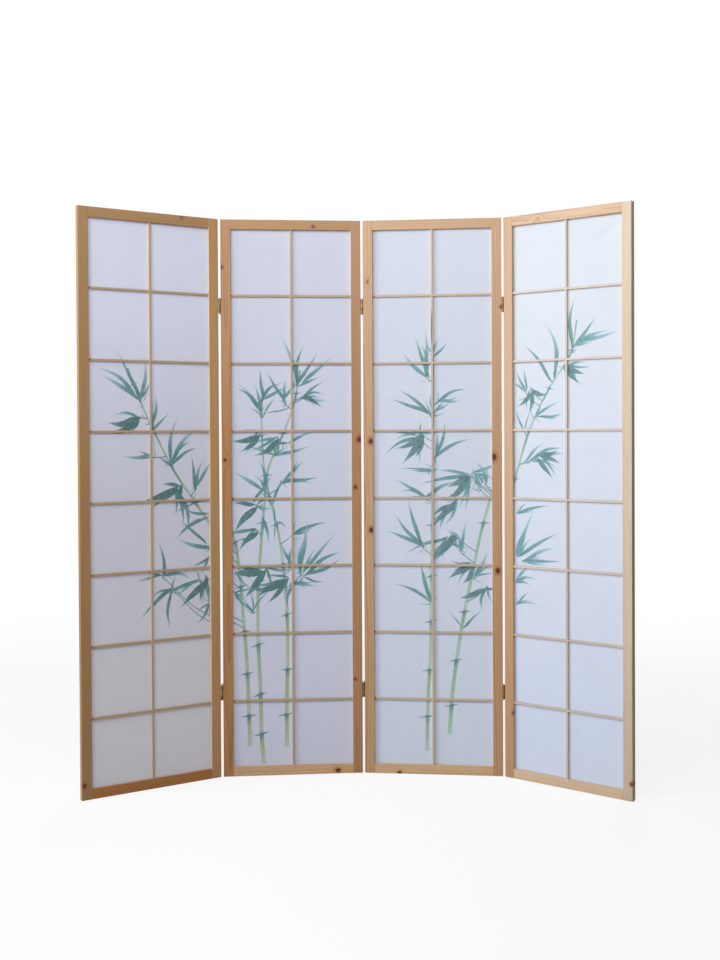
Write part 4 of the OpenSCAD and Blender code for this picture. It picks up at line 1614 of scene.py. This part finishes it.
@dataclass
class Hinges:
    """The brass hinges of one gap between two panels.

    Attributes:
        gap: The gap's name, from the numbers of the panels at its sides.
    """

    gap: str

    def finish(self, brass: Material, pins: Material, screws: Material) -> None:
        """Dresses the leaves, webs, pins and screws.

        Args:
            brass: The finish of leaves and webs.
            pins: The finish of the pins.
            screws: The finish of the screws.
        """
        finishes = {
            "left_leaves": brass, "right_leaves": brass, "webs": brass, "front_pins": pins,
            "rear_pins": pins, "left_screws": screws, "right_screws": screws,
        }
        for part, material in finishes.items():
            dress_node(f"hinge_{self.gap}_{part}", material)
        LOG.info("hinges %s: %d pieces dressed", self.gap, len(finishes))


@dataclass(frozen=True)
class Softbox:
    """A soft light.

    Attributes:
        name: Its name.
        place: Where it hangs.
        aim: What it points at.
        size: Its width and height in metres.
        power: Its power in watts.
    """

    name: str
    place: Triple
    aim: Triple
    size: Point
    power: float

    def hang(self) -> None:
        """Hangs the light, which the camera doesn't see."""
        data = bpy.data.lights.new(self.name, "AREA")
        data.shape = "RECTANGLE"
        data.size, data.size_y = self.size
        data.energy = self.power
        lamp = bpy.data.objects.new(self.name, data)
        lamp.location = self.place
        lamp.rotation_euler = (Vector(self.aim) - Vector(self.place)).to_track_quat("-Z", "Y").to_euler()
        lamp.visible_camera = False
        bpy.context.scene.collection.objects.link(lamp)


@dataclass
class Studio:
    """The floor, the lights and the camera.

    Attributes:
        camera_place: The camera's place in metres.
        pitch: How far it looks down, in degrees.
        roll: How far it leans, in degrees.
        focal: Its focal length in pixels of a picture 960 pixels tall.
        centre: The pixel that the lens looks straight at.
        picture: The picture's size in pixels.
    """

    camera_place: Triple = (0.210, -3.6072, 1.0996)
    pitch: float = 0.763
    roll: float = -0.254
    focal: float = 1164.28
    centre: tuple[float, float] = (425.25, 447.83)
    picture: tuple[int, int] = (720, 960)

    FILM = 36.0
    FARTHEST = 200.0
    SOFTBOXES = (
        Softbox("left_softbox", (-5.2, -2.0, 1.9), (0.2, 0.0, 1.15), (2.6, 2.6), 220.0),
        Softbox("top_softbox", (-0.6, -2.2, 2.5), (0.1, 0.0, 1.3), (2.6, 1.7), 62.5),
        Softbox("rear_softbox", (0.5, 4.2, 2.0), (0.0, 0.0, 0.9), (3.2, 2.4), 90.0),
    )
    SKY, PLAIN_WHITE = 0.12, 1.0
    FLOOR_SIZE, FLOOR_DROP = 80.0, 0.0002
    FLOOR_SEEN = tint(250, 250, 250)
    GRAIN, PALE = ((40.0, 40.0, 40.0), 3.0), (0.3, 0.7, 0.49, 0.5)

    # Where the floor turns white for the camera: from, to, in metres, and how white it is there
    WHITENED = (1.2, 4.5, 0.82, 1.0)

    def camera(self) -> None:
        """Sets the camera where the photograph was taken from."""
        pitch, roll = math.radians(self.pitch), math.radians(self.roll)
        right = Vector((1.0, 0.0, 0.0))
        ahead = Vector((0.0, math.cos(pitch), -math.sin(pitch)))
        upward = right.cross(ahead)
        side = math.cos(roll) * right + math.sin(roll) * upward
        top = -math.sin(roll) * right + math.cos(roll) * upward
        data = bpy.data.cameras.new("camera")
        data.sensor_width = self.FILM
        data.lens = self.focal / self.picture[1] * self.FILM
        data.shift_x = (self.picture[0] / 2 - self.centre[0]) / self.picture[1]
        data.shift_y = (self.centre[1] - self.picture[1] / 2) / self.picture[1]
        data.clip_end = self.FARTHEST
        camera = bpy.data.objects.new("camera", data)
        turn = Matrix((side, top, -ahead)).transposed().to_4x4()
        camera.matrix_world = Matrix.Translation(self.camera_place) @ turn
        bpy.context.scene.collection.objects.link(camera)
        bpy.context.scene.camera = camera

    def sky(self) -> None:
        """Sets an even white sky, which the camera and reflections see as plain white."""
        board = NodeBoard(bpy.data.worlds.new("studio"), "OutputWorld")
        rays = board.add("LightPath").outputs
        seen = board.sum("MAXIMUM", rays["Is Camera Ray"], rays["Is Glossy Ray"])
        seen = board.sum("MAXIMUM", seen, rays["Is Transmission Ray"])
        lit, plain = (
            board.add("Background", {"Color": WHITE, "Strength": strength}).outputs[0]
            for strength in (self.SKY, self.PLAIN_WHITE)
        )
        bpy.context.scene.world = board.close(board.blend(seen, lit, plain))

    def floor(self) -> None:
        """Lays a pale floor that the camera sees as white, with the screen's soft shadow kept."""
        for thing in bpy.context.selected_objects:
            thing.select_set(False)
        bpy.ops.mesh.primitive_plane_add(size=self.FLOOR_SIZE, location=(0.0, 0.0, -self.FLOOR_DROP))
        floor = bpy.context.object
        floor.name = "floor"
        board = NodeBoard(bpy.data.materials.new("floor"))
        place = board.place()
        camera = board.add("LightPath").outputs["Is Camera Ray"]
        colour = board.mix(camera, board.grey(board.patches(place, self.GRAIN, self.PALE)), self.FLOOR_SEEN)
        cloth = board.add("BsdfDiffuse", {"Color": colour}).outputs[0]
        white = board.add("Emission", {"Strength": self.PLAIN_WHITE}).outputs[0]
        seen = board.scaled(camera, board.span(board.length(place), *self.WHITENED))
        floor.data.materials.append(board.close(board.blend(seen, cloth, white)))

    def build(self) -> None:
        """Sets up everything round the screen."""
        bpy.context.scene.view_settings.view_transform = "Standard"
        self.camera()
        self.sky()
        for softbox in self.SOFTBOXES:
            softbox.hang()
        self.floor()
        LOG.info("studio: camera, sky, %d softboxes and floor", len(self.SOFTBOXES))


# By panel: factors on its members' colours, which paint the lamps' light and sheen as well as each
# board's own tone, and the knots of its frame
WOOD = {
    1: ({
        "left_stile": (0.76, 0.71, 0.58), "right_stile": (0.93, 0.88, 0.71), "top_rail": (0.81, 0.81, 0.71),
        "bottom_rail": (0.83, 0.58, 0.3), "bars": (0.88, 0.84, 0.78),
    }, {
        "top_rail": (Knot(103, 8.8, 3.6, 0.4),),
        "left_stile": (Knot(-846, 8, 5.5, 0.8),),
    }),
    2: ({
        "left_stile": (0.82, 0.66, 0.46), "right_stile": (0.78, 0.7, 0.64), "top_rail": (0.73, 0.63, 0.37),
        "bottom_rail": (1.16, 1.22, 1.28), "bars": (0.84, 0.83, 0.82),
    }, {
        "top_rail": (Knot(72, -5, 4.8),),
        "left_stile": (Knot(738, 12, 5.5), Knot(124, 5, 4.1)),
        "right_stile": (Knot(188, -9, 7), Knot(34, 4, 4.8), Knot(-586, 7, 3.4)),
        "bottom_rail": (Knot(142, -4, 5.7),),
    }),
    3: ({
        "left_stile": (0.97, 0.99, 1.0), "right_stile": (0.93, 0.9, 0.93), "top_rail": (0.93, 0.95, 0.96),
        "bottom_rail": (1.19, 1.33, 1.46), "bars": (0.94, 0.99, 1.12),
    }, {
        "left_stile": (Knot(694, 1, 4.1, 0.5), Knot(182, -8, 6.5), Knot(-104, -8, 6)),
        "right_stile": (Knot(130, 9, 7.5), Knot(-233, -2, 6.5), Knot(607, -14, 3.8)),
        "bottom_rail": (Knot(-110, -12, 4.6),),
    }),
    4: ({
        "left_stile": (0.9, 0.92, 0.91), "right_stile": (1.07, 1.4, 1.95), "top_rail": (0.99, 1.07, 1.23),
        "bottom_rail": (1.13, 1.4, 1.84), "bars": (0.97, 1.11, 1.43),
    }, {
        "top_rail": (Knot(-98, -3, 4.3, 0.12),),
        "left_stile": (Knot(-682, -14, 3.6),),
        "right_stile": (Knot(-838, -12, 4.3, 0.8),),
    }),
}
STREAKS = {3: (Knot(545, 1.1, 2.2, 1.0),)}


def main() -> None:
    """Builds and dresses the whole screen, and reports each piece."""
    logging.basicConfig(level=logging.INFO, format="%(name)s: %(message)s")
    artwork = Artwork()
    LOG.info("print: %d strokes", len(artwork.strokes))
    for number, (tones, knots) in WOOD.items():
        Panel(number, artwork, tones, knots, STREAKS.get(number, ())).finish()
    brass = HINGE_BRASS.dress("hinge_brass")
    pins = PIN_BRASS.dress("pin_brass")
    screws = SCREW_STEEL.dress("screw_steel")
    for gap in ("12", "23", "34"):
        Hinges(gap).finish(brass, pins, screws)
    Studio().build()
    LOG.info("sizes written")


if __name__ == "__main__":
    main()
